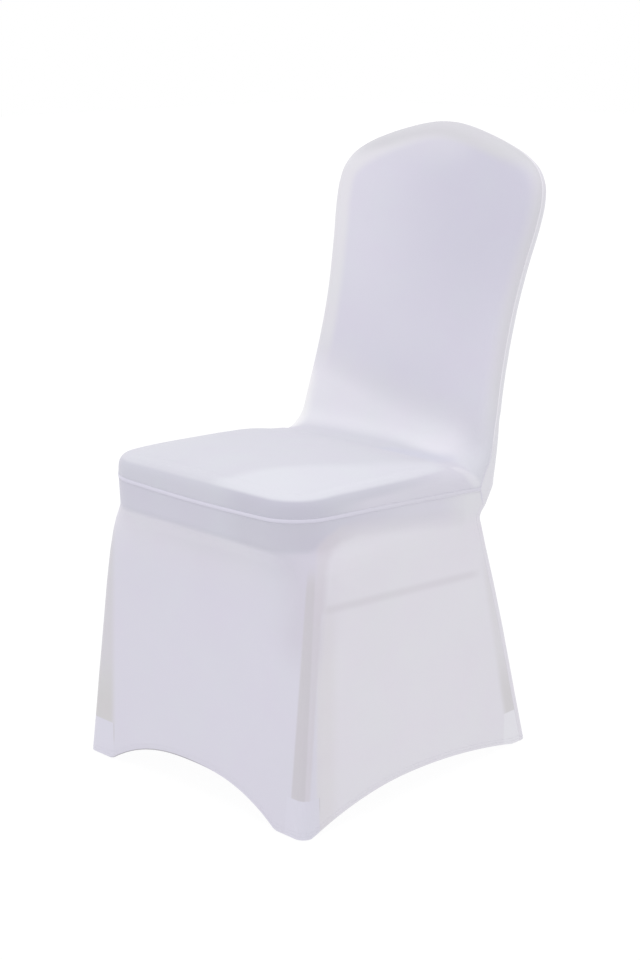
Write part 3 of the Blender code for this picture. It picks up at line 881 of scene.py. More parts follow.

# %% [markdown]
# The upper half of the band turns down, away from the light, so it is painted darker than
# the seat above it, as shade. The painted shade is darkest at the front corner and paler
# to the rear and beside its seam at the sides. One small light fold is pulled at its rear
# corner.

# %% Tones of the upper band
BAND_SHADE_TONE = (0.548, 0.545, 0.618)
BAND_CORNER_SHADE_TONE = (0.508, 0.498, 0.582)
BAND_REAR_TONE = (0.610, 0.597, 0.672)
PULL_TONE = (0.690, 0.680, 0.735)
BAND_CORNER = ((0.152, -0.230, 0.38), (0.152, -0.230, 0.50))
PULL_LINE = ((0.190, 0.112, 0.462), (0.207, 0.141, 0.437))

band_top = 0.4745 - 0.030 * (depth + 0.15).most(0.0)
band = (height - band_top).rise(0.0015, -0.0035) * depth.rise(0.142, 0.128)
band_shade_tone = front_coats.paint.blend(front_coats.away(*BAND_CORNER).rise(0.115, 0.040),
                                    BAND_SHADE_TONE, BAND_CORNER_SHADE_TONE)
for paler in (depth.rise(-0.09, 0.12), depth.rise(-0.18, -0.08) * height.rise(0.464, 0.452)):
    band_shade_tone = front_coats.paint.blend(paler, band_shade_tone, BAND_REAR_TONE)
front_coats.lay(band, band_shade_tone)
front_coats.lay(front_coats.away(*PULL_LINE).rise(0.012, 0.003) * 0.6, PULL_TONE)
front_coats.finish()

# %% [markdown]
# The skirt is plain and bluish in front, and a little warmer at the sides, where light
# comes through from behind. The run along the cloth's own map tells the front from the
# sides, also where the corner is round.

# %% Tones of the skirt's front and sides
SKIRT_TONE = (0.618, 0.603, 0.687)
LIT_TONE = (0.652, 0.637, 0.708)
SIDE_TONE = (0.672, 0.656, 0.712)
SIDE_EDGE_TONE = (0.640, 0.618, 0.655)

skirt_coats = Coats("skirt_cloth", SKIRT_TONE)
x, depth, height = skirt_coats.floor
run = skirt_coats.paint.split(skirt_coats.paint.on_cloth())[0].size()
on_side = run.rise(0.232, 0.262)
only_on_side = run.rise(0.236, 0.250)
skirt_coats.lay(height.rise(0.300, 0.385) * x.rise(0.17, 0.07), LIT_TONE)
skirt_coats.lay(on_side, SIDE_TONE)
side_edge = run.rise(0.238, 0.246) * run.rise(0.290, 0.262) * height.rise(0.350, 0.290)
skirt_coats.lay(side_edge * x.rise(0.0, 0.1) * 0.7, SIDE_EDGE_TONE)
print("the sides start", 0.232, "m along the cloth from its middle")

# %% [markdown]
# Over the lower half of the band the skirt has nearly the painted shade that the front
# cloth has on the upper half, darkest at the front corner. It ends at the band's foot in
# front, and along a low bow at the sides.

# %% Tones of the lower band
LOW_BAND_SHADE_TONE = (0.554, 0.546, 0.628)
LOW_BAND_CORNER_SHADE_TONE = (0.530, 0.519, 0.597)
LOW_REAR_TONE = (0.660, 0.652, 0.698)
BAND_END = 0.4005

bow = (0.4103 + 0.40 * (depth + 0.185)).least(0.4235).least(0.4241 - 0.145 * (depth + 0.111))
above_end = height - (BAND_END + (bow - BAND_END) * depth.rise(-0.215, -0.185))
over_band = between(above_end.rise(-0.009, 0.006), above_end.rise(-0.020, 0.010),
                    depth.rise(-0.215, -0.170))
low_band_shade = skirt_coats.paint.blend(skirt_coats.away(*BAND_CORNER).rise(0.105, 0.040),
                                   LOW_BAND_SHADE_TONE, LOW_BAND_CORNER_SHADE_TONE)
low_band_shade = skirt_coats.paint.blend(depth.rise(-0.18, 0.03), low_band_shade, BAND_REAR_TONE)
low_band_shade = skirt_coats.paint.blend(depth.rise(0.050, 0.135), low_band_shade, LOW_REAR_TONE)
skirt_coats.lay(over_band, low_band_shade)
print("the band's tone ends", BAND_END, "m above the floor")

# %% [markdown]
# Down the corners of the skirt run grey stripes. A stripe is found by the sum of the two
# plan directions, x + depth, which grows from the left front corner to the right rear one
# and is the same along any line across that way. The stripe at the near corner has a warm
# edge, a dark core and, at its top, a soft painted shade. The other two are single and
# fade upward.

# %% Stripes at the corners
HALO_SHADE_TONE = (0.572, 0.548, 0.630)
STRIPE_TONE = (0.548, 0.526, 0.572)
STRIPE_EDGE_TONE = (0.584, 0.556, 0.610)
FAR_STRIPE_TONE = (0.560, 0.545, 0.556)
HALO_SHADE_LINE = ((0.212, -0.214, 0.395), (0.208, -0.224, 0.290))

slant = x + depth
above_pocket = height.rise(0.0555, 0.0585)
near_slant = -0.0158 + 0.083 * (height - 0.06)
at_near = (x - 0.15).rise(0.0, 0.01) * depth.rise(-0.15, -0.16)
in_fall = height.rise(0.388, 0.352) * above_pocket
halo_shade = skirt_coats.away(*HALO_SHADE_LINE).rise(0.075, 0.004) * on_side.rise(1.6, 0.0)
skirt_coats.lay(halo_shade * over_band.rise(1.0, 0.0) * 0.85, HALO_SHADE_TONE)
off_stripe = (slant - near_slant).size()
skirt_coats.lay(off_stripe.rise(0.0165, 0.0105) * at_near * in_fall * 0.8, STRIPE_EDGE_TONE)
half_core = 0.0142 - 0.018 * height
beyond_core = (slant - near_slant + 0.0098).size() - half_core
skirt_coats.lay(beyond_core.rise(0.0028, -0.0022) * at_near * in_fall, STRIPE_TONE)
low_down = height.rise(0.170, 0.085)
left_stripe = (slant + 0.4335 - 0.020 * height).rise(0.009, -0.008) * depth.rise(0.0, -0.1)
left_stripe = left_stripe * height.rise(0.395, 0.350) * above_pocket
skirt_coats.lay(left_stripe * (0.55 + 0.35 * low_down), FAR_STRIPE_TONE)
rear_stripe = (slant - (0.4225 - 0.237 * (height - 0.06))).rise(-0.007, 0.007)
rear_stripe = rear_stripe * depth.rise(0.10, 0.12) * height.rise(0.340, 0.280) * above_pocket
skirt_coats.lay(rear_stripe * (0.34 + 0.40 * low_down), FAR_STRIPE_TONE)
print("stripes: one near, one at the left, one at the rear")

# %% [markdown]
# Two faint lines cross each side: a straight one, and a bent one that climbs from the
# near stripe and runs back below the band. Seen from the side each is a chain of straight
# parts, and the mask is the distance from the nearest part.

# %% Lines across the sides
CROSS_LINE = [(-0.193, 0.3232), (0.150, 0.2985)]
BENT_LINE = [(-0.211, 0.330), (-0.207, 0.356), (-0.202, 0.378), (-0.191, 0.396),
             (-0.173, 0.409), (-0.148, 0.418), (-0.115, 0.4215), (-0.007, 0.4075),
             (0.102, 0.3935)]
BENT_LINE_TONE = (0.592, 0.566, 0.622)

seen_from_side = skirt_coats.paint.node("ShaderNodeCombineXYZ", None, {1: depth, 2: height})


def off_line(chain):
    """Distance, seen from the side, from the nearest part of a chain of lines."""
    nearest = None
    for start, end in zip(chain, chain[1:]):
        part = skirt_coats.paint.away_from(seen_from_side, (0.0, *start), (0.0, *end))
        nearest = part if nearest is None else nearest.least(part)
    return nearest


cross = off_line(CROSS_LINE).rise(0.0098, 0.0008) * only_on_side * depth.rise(0.158, 0.120)
skirt_coats.lay(cross * 0.42, STRIPE_TONE)
bent = off_line(BENT_LINE).rise(0.018, 0.005) * only_on_side
skirt_coats.lay(bent * between(0.26, 0.85, depth.rise(-0.10, -0.18)), BENT_LINE_TONE)
print("parts of the bent line:", len(BENT_LINE) - 1)

# %% [markdown]
# At each foot a denser patch shows where a pocket doubles the cloth, with a fine dark line
# down its inner edge. A line of painted shade also edges part of the hem in front, where the
# turned-up hem lies in shadow. The mesh holds at each point how high it is above the hem, as
# from_hem.

# %% Patches at the feet and the line at the hem
POCKET_TONE = (0.630, 0.617, 0.704)
REAR_POCKET_TONE = (0.708, 0.700, 0.748)
HEM_SHADE_TONE = (0.300, 0.290, 0.310)

low = height.rise(0.0585, 0.0565)
front_foot = x.size().rise(0.2000, 0.2020) * depth.rise(-0.2195, -0.2215)
left_foot = (slant + 0.4315).rise(0.002, -0.002)
rear_foot = (slant - 0.422).rise(-0.002, 0.002) * depth.rise(0.10, 0.12)
skirt_coats.lay(front_foot.most(left_foot) * low * 0.9, POCKET_TONE)
skirt_coats.lay(rear_foot * low * 0.9, REAR_POCKET_TONE)
left_line = (slant + 0.4305).size().rise(0.0022, 0.0008) * height.rise(0.020, 0.040)
side_line = (depth + 0.2195).size().rise(0.0016, 0.0006) * height.rise(0.030, 0.045)
side_line = side_line * only_on_side * x.rise(0.0, 0.1)
skirt_coats.lay(left_line.most(side_line) * low * 0.7, STRIPE_TONE)
hem_shade_line = skirt_coats.mark("from_hem").rise(0.0022, 0.0008) * depth.rise(-0.20, -0.21)
hem_shade_line = hem_shade_line * x.rise(-0.195, -0.165) * x.rise(0.06, -0.02)
skirt_coats.lay(hem_shade_line * 0.75, HEM_SHADE_TONE)
skirt_coats.finish()

# %% [markdown]
# The outside back is between the two in tone. Pockets, seams and thread are the same
# cloth and yarn, doubled, so they are a little denser and smoother. The seam takes the
# tone of the cloth that it crosses, with the painted light and shade laid on that cloth.

# %% Other finishes
BACK_TONE = (0.672, 0.665, 0.712)
SEAM_TONE = (0.590, 0.575, 0.680)
SEAM_LIT_TONE = (0.640, 0.625, 0.715)
BACK_SEAM_TONE = (0.730, 0.715, 0.765)
THREAD_TONE = (0.60, 0.59, 0.66)
THREAD_LIT_TONE = (0.68, 0.67, 0.74)

back_coats = Coats("back_cloth", SIDE_TONE)
height = back_coats.floor[2]
back_coats.lay(height.rise(0.36, 0.44) * height.rise(0.90, 0.80), BACK_TONE)
back_coats.finish()
pocket_paint = Paint("pocket_cloth", 0.8, 0.2)
height = floor_places(pocket_paint)[2]
finish_cloth(pocket_paint, pocket_paint.blend(height.rise(0.036, 0.040), POCKET_TONE, SIDE_TONE))
seam_paint = Paint("seam_cloth", 0.7, 0.3)
_, depth, height = floor_places(seam_paint)
yarn = seam_paint.blend(clouds(seam_paint, 900.0), SEAM_TONE, SEAM_LIT_TONE)
for share, tone in ((height.rise(0.44, 0.47) * depth.rise(0.13, 0.15), BACK_SEAM_TONE),
                    (height.rise(0.42, 0.40), SIDE_TONE),
                    (height.rise(0.50, 0.46) * height.rise(0.40, 0.425)
                     * depth.rise(-0.20, 0.02), BAND_REAR_TONE)):
    yarn = seam_paint.blend(share, yarn, tone)
seam_paint.feed(seam_paint.shader.inputs["Base Color"], yarn)
thread_paint = Paint("thread", 0.55, 0.3)
thread_paint.feed(thread_paint.shader.inputs["Base Color"],
                  thread_paint.blend(clouds(thread_paint, 2500.0), THREAD_TONE, THREAD_LIT_TONE))
print("finishes:", [m.name for m in bpy.data.materials])

# %% [markdown]
# The inside back and the outside back lie on a leaning slab with round edges. Its outline
# is one smooth curve through a short table of half widths: narrow at the waist, full at
# the shoulders, domed at the crown. The seam runs round the middle of the edge.

# %% Seams of the back
BACK_STEPS = 64


def on_back(x, height):
    return np.array([x, BACK_FOOT_Y + BACK_LEAN * height, height])


def back_rim():
    """Seam points and outward ways: up the +X side, then over to the crown's middle."""
    curve = smooth_curve(BACK_OUTLINE)
    shoulder = SHOULDER_ROW * CURVE_STEPS
    start = int(np.argmin(np.abs(curve[:shoulder, 1] - SLAB_SEAM_Z)))
    side = along(curve[start:shoulder + 1], np.linspace(0, 1, BACK_STEPS + 1))
    crown = along(curve[shoulder:], (1 - column_shares())[::-1])
    crown[1][0] = side[1][-1]
    crown[1][-1] = (-1, 0)

    def placed(points, ways):
        result = []
        for point, way in zip(points, ways):
            rise = way[1] / cos(LEAN_ANGLE)
            outward = (rise * ACROSS - way[0] * BACK_UP) / sqrt(rise ** 2 + way[0] ** 2)
            result.append((on_back(*point), outward))
        return result

    return placed(*side), placed(*crown)


def slab_station(point, outward, forward):
    depth = BACK_HALF_DEPTH if forward else -BACK_HALF_DEPTH
    edge = point - outward * EDGE_ROUND + BACK_FORWARD * depth
    return Station(edge, point, outward, EDGE_ROUND)


SIDE_RIM, CROWN_RIM = back_rim()
print("seam round the back:", len(SIDE_RIM) + len(CROWN_RIM), "places on a half")

# %% [markdown]
# Between the rear corner of the seat and the edge of the slab the side seam follows its
# own short table. Its rows are those of the bend between the seat and the back.

# %% Seam beside the bend
CREASE_PARTS = 3
CREASE_ROWS = np.arange(1, 6 * CREASE_PARTS) / CREASE_PARTS
SEAM_BLUR = 0.35


def lower_seam_points():
    """The side seam between the seat's rear corner and the slab's edge."""
    first = (SEAT_REAR_HALF_WIDTH, REAR_CORNER_Y, REAR_CORNER_Z)
    last = SIDE_RIM[0][0]
    rows = [first]
    for i, (y, z) in enumerate(LOWER_SIDE_SEAM, start=1):
        rows.append((between(first[0], last[0], i / 6), y, z))
    rows.append(tuple(last))
    table = [(i, *row) for i, row in enumerate(rows)]
    return soft_table(table, CREASE_ROWS, SEAM_BLUR)


LOWER_SEAM = lower_seam_points()
print("seam beside the bend:", len(LOWER_SEAM), "places")

# %% [markdown]
# The seat is a tilted level with a full, flat-topped crown on it, as over a firm filling.
# It falls away at the front and at both sides, then rounds down to the seam of the band.

# %% Shape of the seat
def seat_seam_z(x, y):
    """The band's seam sags a little between the corners of the seat."""
    share = (y - SEAT_FRONT_Y) / (REAR_CORNER_Y - SEAT_FRONT_Y)
    bow = SEAM_BOW * min(abs(x) / SEAT_HALF_WIDTH, 1) ** 2 * (1 - share ** 2)
    return between(FRONT_SEAM_Z, REAR_CORNER_Z, share) + bow


def seat_height(x, y):
    across = 1 - abs(x / SEAT_HALF_WIDTH) ** SEAT_DOME_BEND
    front = 1 - max(1 - (y - SEAT_FRONT_Y) / SEAT_DOME_LENGTH, 0) ** SEAT_DOME_BEND
    fade = min(max((y - SEAT_DOME_FADE_Y) / (REAR_CORNER_Y - SEAT_DOME_FADE_Y), 0), 1)
    rear = between(1, SEAT_DOME_REAR, fade * fade * (3 - 2 * fade))
    return SEAT_TOP - SEAT_FALL * (y - SEAT_FRONT_Y) + SEAT_DOME * across * front * rear


print("seat at its middle:", round(seat_height(0.0, 0.0), 4), "m above the floor")

# %% [markdown]
# At the rear the seat turns up in one soft bend into the inside back, because the cloth
# is cut in one there. Seen from the side the bend is an arc that touches both.

# %% Bend from the seat up to the back
def crease_line(shares):
    """Side view (y, z) of the bend, at shares of its turn."""
    face_y = BACK_FOOT_Y - BACK_HALF_DEPTH / cos(LEAN_ANGLE)
    level = SEAT_TOP + SEAT_FALL * SEAT_FRONT_Y
    meet_z = (level - SEAT_FALL * face_y) / (1 + SEAT_FALL * BACK_LEAN)
    meet = np.array([face_y + BACK_LEAN * meet_z, meet_z])
    tilt = atan(SEAT_FALL)
    turn = pi / 2 - LEAN_ANGLE + tilt
    start = meet - CREASE_ROUND * tan(turn / 2) * np.array([cos(tilt), -sin(tilt)])
    centre = start + CREASE_ROUND * np.array([sin(tilt), cos(tilt)])
    angles = -pi / 2 - tilt + turn * np.asarray(shares)
    return centre + CREASE_ROUND * np.stack([np.cos(angles), np.sin(angles)], axis=1)


def bend_ease(points):
    """How much each point may ease off the bend, where the cloth spans it."""
    away = np.hypot(points[:, 1] - BEND_MIDDLE[0], points[:, 2] - BEND_MIDDLE[1])
    inside = np.clip(1 - (points[:, 0] / BEND_HALF_WIDTH) ** 4, 0, 1)
    return np.exp(-(away / CREASE_ROUND) ** 2) * inside


BEND_MIDDLE = (0.128, 0.478)
BEND_HALF_WIDTH = 0.185
print("bend starts at y =", round(float(crease_line([0.0])[0][0]), 4))

# %% [markdown]
# Seen from above, the seat is a rounded rectangle that narrows a little to the rear. Its
# edge and its seam are two such outlines, and the net of the seat fills the inner one.

# %% Outline and net of the seat
def seat_stations():
    seam = plan_section(SEAT_HALF_WIDTH, SEAT_REAR_HALF_WIDTH, SEAT_FRONT_Y,
                        REAR_CORNER_Y, SEAT_CORNER)
    edge = plan_section(SEAT_HALF_WIDTH - EDGE_ROUND, SEAT_REAR_HALF_WIDTH - EDGE_ROUND,
                        SEAT_FRONT_Y + EDGE_ROUND, crease_line([0.0])[0][0],
                        SEAT_CORNER - EDGE_ROUND)
    stations = []
    for (x, y), (seam_x, seam_y), way in zip(edge, seam, PLAN_WAYS):
        place = (seam_x, seam_y, seat_seam_z(seam_x, seam_y))
        full = between(SEAT_EDGE_FULL, 1.0, max(seam_y / REAR_CORNER_Y, 0))
        stations.append(Station((x, y, seat_height(x, y)), place, (*way, 0.0), EDGE_ROUND, full))
    return stations


def seat_rows(stations):
    corner = FRONT_STEPS + ARC_STEPS
    plan = [station.edge[:2] for station in stations]
    low = whole_row(plan[:corner + 1])
    right = np.array(plan[corner:])
    high = whole_row([(right[-1][0] * share, right[-1][1]) for share in column_shares()])
    net = filled_net(low, high, right * (-1, 1), right)
    return [[(x, y, seat_height(x, y)) for x, y in row] for row in net]


SEAT = seat_stations()
print("seam of the band:", len(SEAT), "places on a half")

# %% [markdown]
# The inside back and the outside back are the two faces of the leaning slab. Each is a
# net inside the slab's outline, domed a little in its middle.

# %% Faces of the slab
def straight_row(edge):
    """A row straight across, from the middle to a face edge on the +X side."""
    return whole_row([(edge[0] * share, edge[1], edge[2]) for share in column_shares()])


def slab_rows(forward):
    """Rows of the inside back, or of the outside back."""
    sign = 1 if forward else -1
    right = np.array([(p - n * EDGE_ROUND)[[0, 2]] for p, n in SIDE_RIM])
    top = np.array([(p - n * EDGE_ROUND)[[0, 2]] for p, n in CROWN_RIM])
    low = whole_row([(right[0][0] * share, right[0][1]) for share in column_shares()])
    net = filled_net(low, whole_row(top[::-1]), right * (-1, 1), right)
    bottom, tall = right[0][1], CROWN_HEIGHT - EDGE_ROUND - right[0][1]
    rows = []
    for row in net:
        points = []
        for x, z in row:
            reach = min(max((z - bottom) / tall, 0), 1)
            dome = 4 * reach * (1 - reach) * (1 - (x / SEAT_HALF_WIDTH) ** 2)
            depth = BACK_HALF_DEPTH + BACK_DOME * dome
            points.append(on_back(x, z) + BACK_FORWARD * depth * sign)
        rows.append(points)
    return rows


print("slab:", 2 * BACK_HALF_DEPTH * 1000, "mm thick, domed by", BACK_DOME * 1000)

# %% [markdown]
# Now the front cloth is put together: the rows of the seat, of the bend and of the inside
# back make one net, and its whole outline is rounded over to the seam. Each of its points
# keeps its distance from that seam, for the material.

# %% Front cloth
corner = FRONT_STEPS + ARC_STEPS
slab = [slab_station(*at, forward=True) for at in SIDE_RIM]
over = [slab_station(*at, forward=True) for at in CROWN_RIM]
turns = CREASE_ROWS[CREASE_ROWS <= 4] / 4
crease = [tuple(p) for p in crease_line(turns)]
top_of_crease = np.array(crease[-1])
for part in CREASE_ROWS[CREASE_ROWS > 4]:
    crease.append(tuple(between(top_of_crease, slab[0].edge[1:], (part - 4) / 2)))
bend = [Station((seam[0] - EDGE_ROUND, y, z), seam, ACROSS, EDGE_ROUND)
        for (y, z), seam in zip(crease, LOWER_SEAM)]
front = Cloth()
rows = front.add_net(seat_rows(SEAT) + [straight_row(s.edge) for s in bend] + slab_rows(True))
right = SEAT[corner:] + bend + slab
top = over[1:] + [s.mirrored() for s in over[-2:0:-1]]
left = [s.mirrored() for s in reversed(right)]
near = [s.mirrored() for s in SEAT[corner - 1:0:-1]] + SEAT[:corner]
edge_ids = ([row[-1] for row in rows] + rows[-1][-2:0:-1]
            + [row[0] for row in reversed(rows)] + rows[0][1:-1])
FRONT_LOOP = right + top + left + near
front.round_to_seam(edge_ids, FRONT_LOOP, turned=True, closed=True)
front.settle(bend_ease)
seam_places = np.array([station.seam for station in FRONT_LOOP])
from_seam = np.array([np.linalg.norm(seam_places - p, axis=1).min() for p in front.middle])
front_cloth = front.piece("front_cloth",
                          lambda p: np.stack([p[:, 0], p[:, 1] + p[:, 2]], axis=1),
                          front_coats.paint, {"from_seam": from_seam})

# %% [markdown]
# The skirt starts at the seam of the band, runs down the band's lower half, then steps
# out at the corners and falls straight to the feet. Its hem is cut in low arches, so that
# only the corners reach the floor. The rows are close together near the band and near
# the hem, where the cloth bends most.

# %% Shape of the skirt
BAND_SHARES = np.linspace(0, 1, 9)
FALL_SHARES = np.concatenate([np.linspace(0, 0.22, 25)[1:], np.linspace(0.22, 0.955, 44)[1:],
                              [0.963, 0.970, 0.976, 0.982, 0.988, 0.994, 1.0]])
NOTCH_BLUR = 0.007
FALL_BLUR = 0.012


def rear_face_y(height):
    return soft_table(REAR_FACE, height, NOTCH_BLUR)[:, 0]


def skirt_side(height):
    """Half widths at front and rear, front and rear seam places, at one height."""
    down = 1 - height / BAND_FOOT_Z
    return (between(TOP_HALF_WIDTH, FOOT_HALF_WIDTH, down),
            between(TOP_REAR_HALF_WIDTH, FOOT_REAR_HALF_WIDTH, down),
            between(TOP_FRONT_Y, FOOT_FRONT_Y, down),
            rear_face_y(height) - LEG_SEAM_IN)


def arch(distance, half, rise, bend):
    return rise * np.clip(1 - np.abs(distance / half) ** bend, 0, None)


def skirt_arch(foot):
    """The hem's rise at each column of the skirt."""
    distance = foot[:, 1] - SIDE_ARCH_MIDDLE_Y
    side = np.where(distance > 0, arch(distance, *SIDE_ARCH_BACKWARD),
                    arch(distance, *SIDE_ARCH_FORWARD))
    on_front = np.arange(len(foot)) <= FRONT_STEPS + ARC_STEPS
    return np.where(on_front, arch(foot[:, 0], *FRONT_ARCH), side)


def skirt_rows():
    seam_z = np.array([station.seam[2] for station in SEAT])
    foot = plan_section(*skirt_side(np.zeros(1)), LEG_CORNER)
    rise = skirt_arch(foot)
    rear_seam_y = skirt_side(np.array([BAND_FOOT_Z]))[3]
    rows = []
    for share in BAND_SHARES:
        band = (SEAT_HALF_WIDTH - BAND_TURN_IN * share,
                between(SEAT_REAR_HALF_WIDTH, TOP_REAR_HALF_WIDTH, share),
                SEAT_FRONT_Y + BAND_TURN_IN * share,
                between(REAR_CORNER_Y, rear_seam_y, share))
        section = plan_section(*band, SEAT_CORNER)
        rows.append(np.column_stack([section, between(seam_z, BAND_FOOT_Z, share)]))
    for share, (reached, size) in zip(FALL_SHARES, soft_table(FALL_ROWS, FALL_SHARES, FALL_BLUR)):
        height = between(BAND_FOOT_Z, HEM_LOW + rise, share)
        half_width, rear_half_width, front_y, rear_y = skirt_side(height)
        section = plan_section(between(band[0], half_width, reached), rear_half_width,
                               between(band[2], front_y, reached), rear_y, size)
        rows.append(np.column_stack([section, height]))
    return rows


SKIRT_ROWS = skirt_rows()
print("rows of the skirt:", len(SKIRT_ROWS))

# %% [markdown]
# The rows of the skirt are mirrored to whole rows and joined to one net. Along the seams
# it keeps the outward ways of the seat's edge and of the sides, so that no kink shows
# where it meets its neighbours. Each of its points keeps its height above the hem.

# %% Skirt
def round_the_corner(points):
    """The cloth's own map: the run along the skirt, and the height."""
    run = points[:, 0] + np.sign(points[:, 0]) * np.clip(points[:, 1] - TOP_FRONT_Y + 0.02, 0, 1)
    return np.stack([run, points[:, 2]], axis=1)


rows = [row.copy() for row in SKIRT_ROWS]
rows[0][:, 2] -= SEAM_GAP / 2
for row in rows:
    row[-1][1] -= SEAM_GAP / 2
skirt = Cloth()
skirt_ids = skirt.add_net([whole_row(row) for row in rows], turned=True)
middle = len(SEAT) - 1
for i, station in enumerate(SEAT):
    skirt.seam_normals[skirt_ids[0][middle + i]] = station.outward
    skirt.seam_normals[skirt_ids[0][middle - i]] = station.outward * MIRROR_X
for row in skirt_ids:
    skirt.seam_normals[row[-1]] = ACROSS
    skirt.seam_normals[row[0]] = -ACROSS
skirt.settle()
hem = skirt.middle[np.array(skirt_ids[-1])]
hem = hem[np.argsort(hem[:, 0])]
from_hem = skirt.middle[:, 2] - np.interp(skirt.middle[:, 0], hem[:, 0], hem[:, 2])
skirt_cloth = skirt.piece("skirt_cloth", round_the_corner, skirt_coats.paint,
                          {"from_hem": from_hem})

# %% [markdown]
# The outside back follows the slab down, turns in under the rear of the band, and runs
# out to the rear feet. It wraps round both sides as far as the side seams, so its edges
# are rounded over like the inside back's, and they share the same seam places.

# %% Back cloth
stations = []
for row in reversed(SKIRT_ROWS):
    x, y, z = row[-1]
    size = LEG_CORNER if z < BAND_FOOT_Z else between(LEG_CORNER, EDGE_ROUND, 0.5)
    stations.append(Station((x - size, rear_face_y(z)[0], z), (x, y, z), ACROSS, size))
for seam in LOWER_SEAM:
    edge = (seam[0] - EDGE_ROUND, rear_face_y(seam[2])[0], seam[2])
    stations.append(Station(edge, seam, ACROSS, EDGE_ROUND))
lower_count = len(stations)
stations += [slab_station(*at, forward=False) for at in SIDE_RIM]
over = [slab_station(*at, forward=False) for at in CROWN_RIM]
lower = []
for i, station in enumerate(stations[:lower_count]):
    points = straight_row(station.edge)
    if i < len(FALL_SHARES):
        points[:, 2] += FALL_SHARES[::-1][i] * arch(points[:, 0], *REAR_ARCH)
        points[:, 1] = rear_face_y(points[:, 2])
    lower.append(points)
back = Cloth()
back_ids = back.add_net(lower + slab_rows(False), turned=True)
top = over[1:] + [s.mirrored() for s in over[-2:0:-1]]
left = [s.mirrored() for s in reversed(stations)]
edge_ids = ([row[-1] for row in back_ids] + back_ids[-1][-2:0:-1]
            + [row[0] for row in reversed(back_ids)])
back_rings = back.round_to_seam(edge_ids, stations + top + left)
back.settle()
back_cloth = back.piece("back_cloth", lambda p: p[:, [0, 2]].copy(), back_coats.paint)

# %% [markdown]
# The hem is the cloth's own edge, turned up 12 mm inside and stitched. The turned-up
# layer is a strip of the same net, laid against the inner face of its piece.

# %% Hems
HEM_ROWS = 6
HEM_FACE, HEM_INSIDE = 0.00005, 0.00075
FAR_FROM_HEM = 1.0


def hem_strip(name, cloth, rows, paint, flat_map):
    """The rows of a net next to the hem, as a second thin layer inside it."""
    ids = np.array(rows)
    points = cloth.middle[ids]
    ways = cloth.normals[ids]
    outer = (points - ways * HEM_FACE).reshape(-1, 3)
    inner = (points - ways * HEM_INSIDE).reshape(-1, 3)
    count = len(outer)
    net = np.arange(count).reshape(ids.shape)
    faces = np.stack([net[:-1, :-1], net[:-1, 1:], net[1:, 1:], net[1:, :-1]], axis=-1)
    faces = faces.reshape(-1, 4)
    rim = list(net[0]) + list(net[1:, -1]) + list(net[-1, -2::-1]) + list(net[-2:0:-1, 0])
    closed = [(a, a + count, b + count, b) for a, b in zip(rim, rim[1:] + rim[:1])]
    shell = np.vstack([faces, faces[:, ::-1] + count, closed])
    return mesh_piece(name, np.vstack([outer, inner]), shell, paint,
                      np.vstack([flat_map((outer + inner) / 2)] * 2))


def back_row(k):
    """One whole row of the back piece, from seam to seam."""
    total = len(back_rings[0])
    right = [ring[k] for ring in back_rings]
    left = [ring[total - 1 - k] for ring in back_rings]
    return left[:0:-1] + back_ids[k] + right[1:]


skirt_hem = hem_strip("skirt_hem", skirt, [row[2:-2] for row in skirt_ids[:-HEM_ROWS - 1:-1]],
                      skirt_coats.paint, round_the_corner)
mark_points(skirt_hem, "from_hem", np.full(len(skirt_hem.data.vertices), FAR_FROM_HEM))
back_hem = hem_strip("back_hem", back, [back_row(k)[::-1] for k in range(HEM_ROWS)],
                     back_coats.paint, lambda p: p[:, [0, 2]].copy())

# %% [markdown]
# In each lower corner sits a sock of doubled cloth, open above, that holds the corner
# down. It is lofted from rings: up the outside, over a rolled top edge, and down the
# inside to a closed floor.

# %% Profile of a foot pocket
POCKET_STEPS = 8


def pocket_ring(middle, half, corner, height):
    points = []
    for quarter in range(4):
        turn = pi / 4 + quarter * pi / 2
        place = middle + (half - corner) * sqrt(2) * np.array([cos(turn), sin(turn)])
        for step in range(POCKET_STEPS):
            angle = (quarter + step / (POCKET_STEPS - 1)) * pi / 2
            points.append((*(place + corner * np.array([cos(angle), sin(angle)])), height))
    return points


def pocket_profile():
    """Height and inset of each ring, up the outside and down again inside."""
    rings = []
    for share in np.linspace(0, 1, 5):
        turn = share * pi / 2
        rings.append((0.005 * (1 - cos(turn)) + 0.0001, 0.005 * (1 - sin(turn))))
    for height in np.linspace(0.008, POCKET_HEIGHT - 0.008, 8):
        rings.append((height, 0.0003 * (1 + sin(height * 400))))
    rolled_edge = [(0.007, 0.0004), (0.006, 0.0), (0.001, 0.0), (0.0, 0.0006),
                   (0.0, 0.0016), (0.001, 0.0022), (0.006, 0.0022), (0.007, 0.0017)]
    rings += [(POCKET_HEIGHT - below, inset) for below, inset in rolled_edge]
    rings += [(height, 0.0016) for height in np.linspace(POCKET_HEIGHT - 0.010, 0.008, 6)]
    return rings + [(0.004, 0.0026), (0.0022, 0.0045), (0.0018, 0.0065)]


print("rings of a pocket:", len(pocket_profile()))

# %% [markdown]
# The rings follow the slant of their corner, so each pocket is made at its own place. The
# rings are joined by four-sided faces, and a fan of triangles closes each end.

# %% Foot pockets
def pocket_middle(height, left, near):
    """Where a pocket's ring has its middle, against the corner it stands in."""
    reach = HALF_SHEET + POCKET_CLEAR + POCKET_HALF
    half_width, rear_half_width, front_y, _ = skirt_side(np.array([height]))
    x = (half_width if near else rear_half_width) - reach
    y = front_y + reach if near else rear_face_y(height) - reach
    return np.array([x[0] if left else -x[0], y[0]])


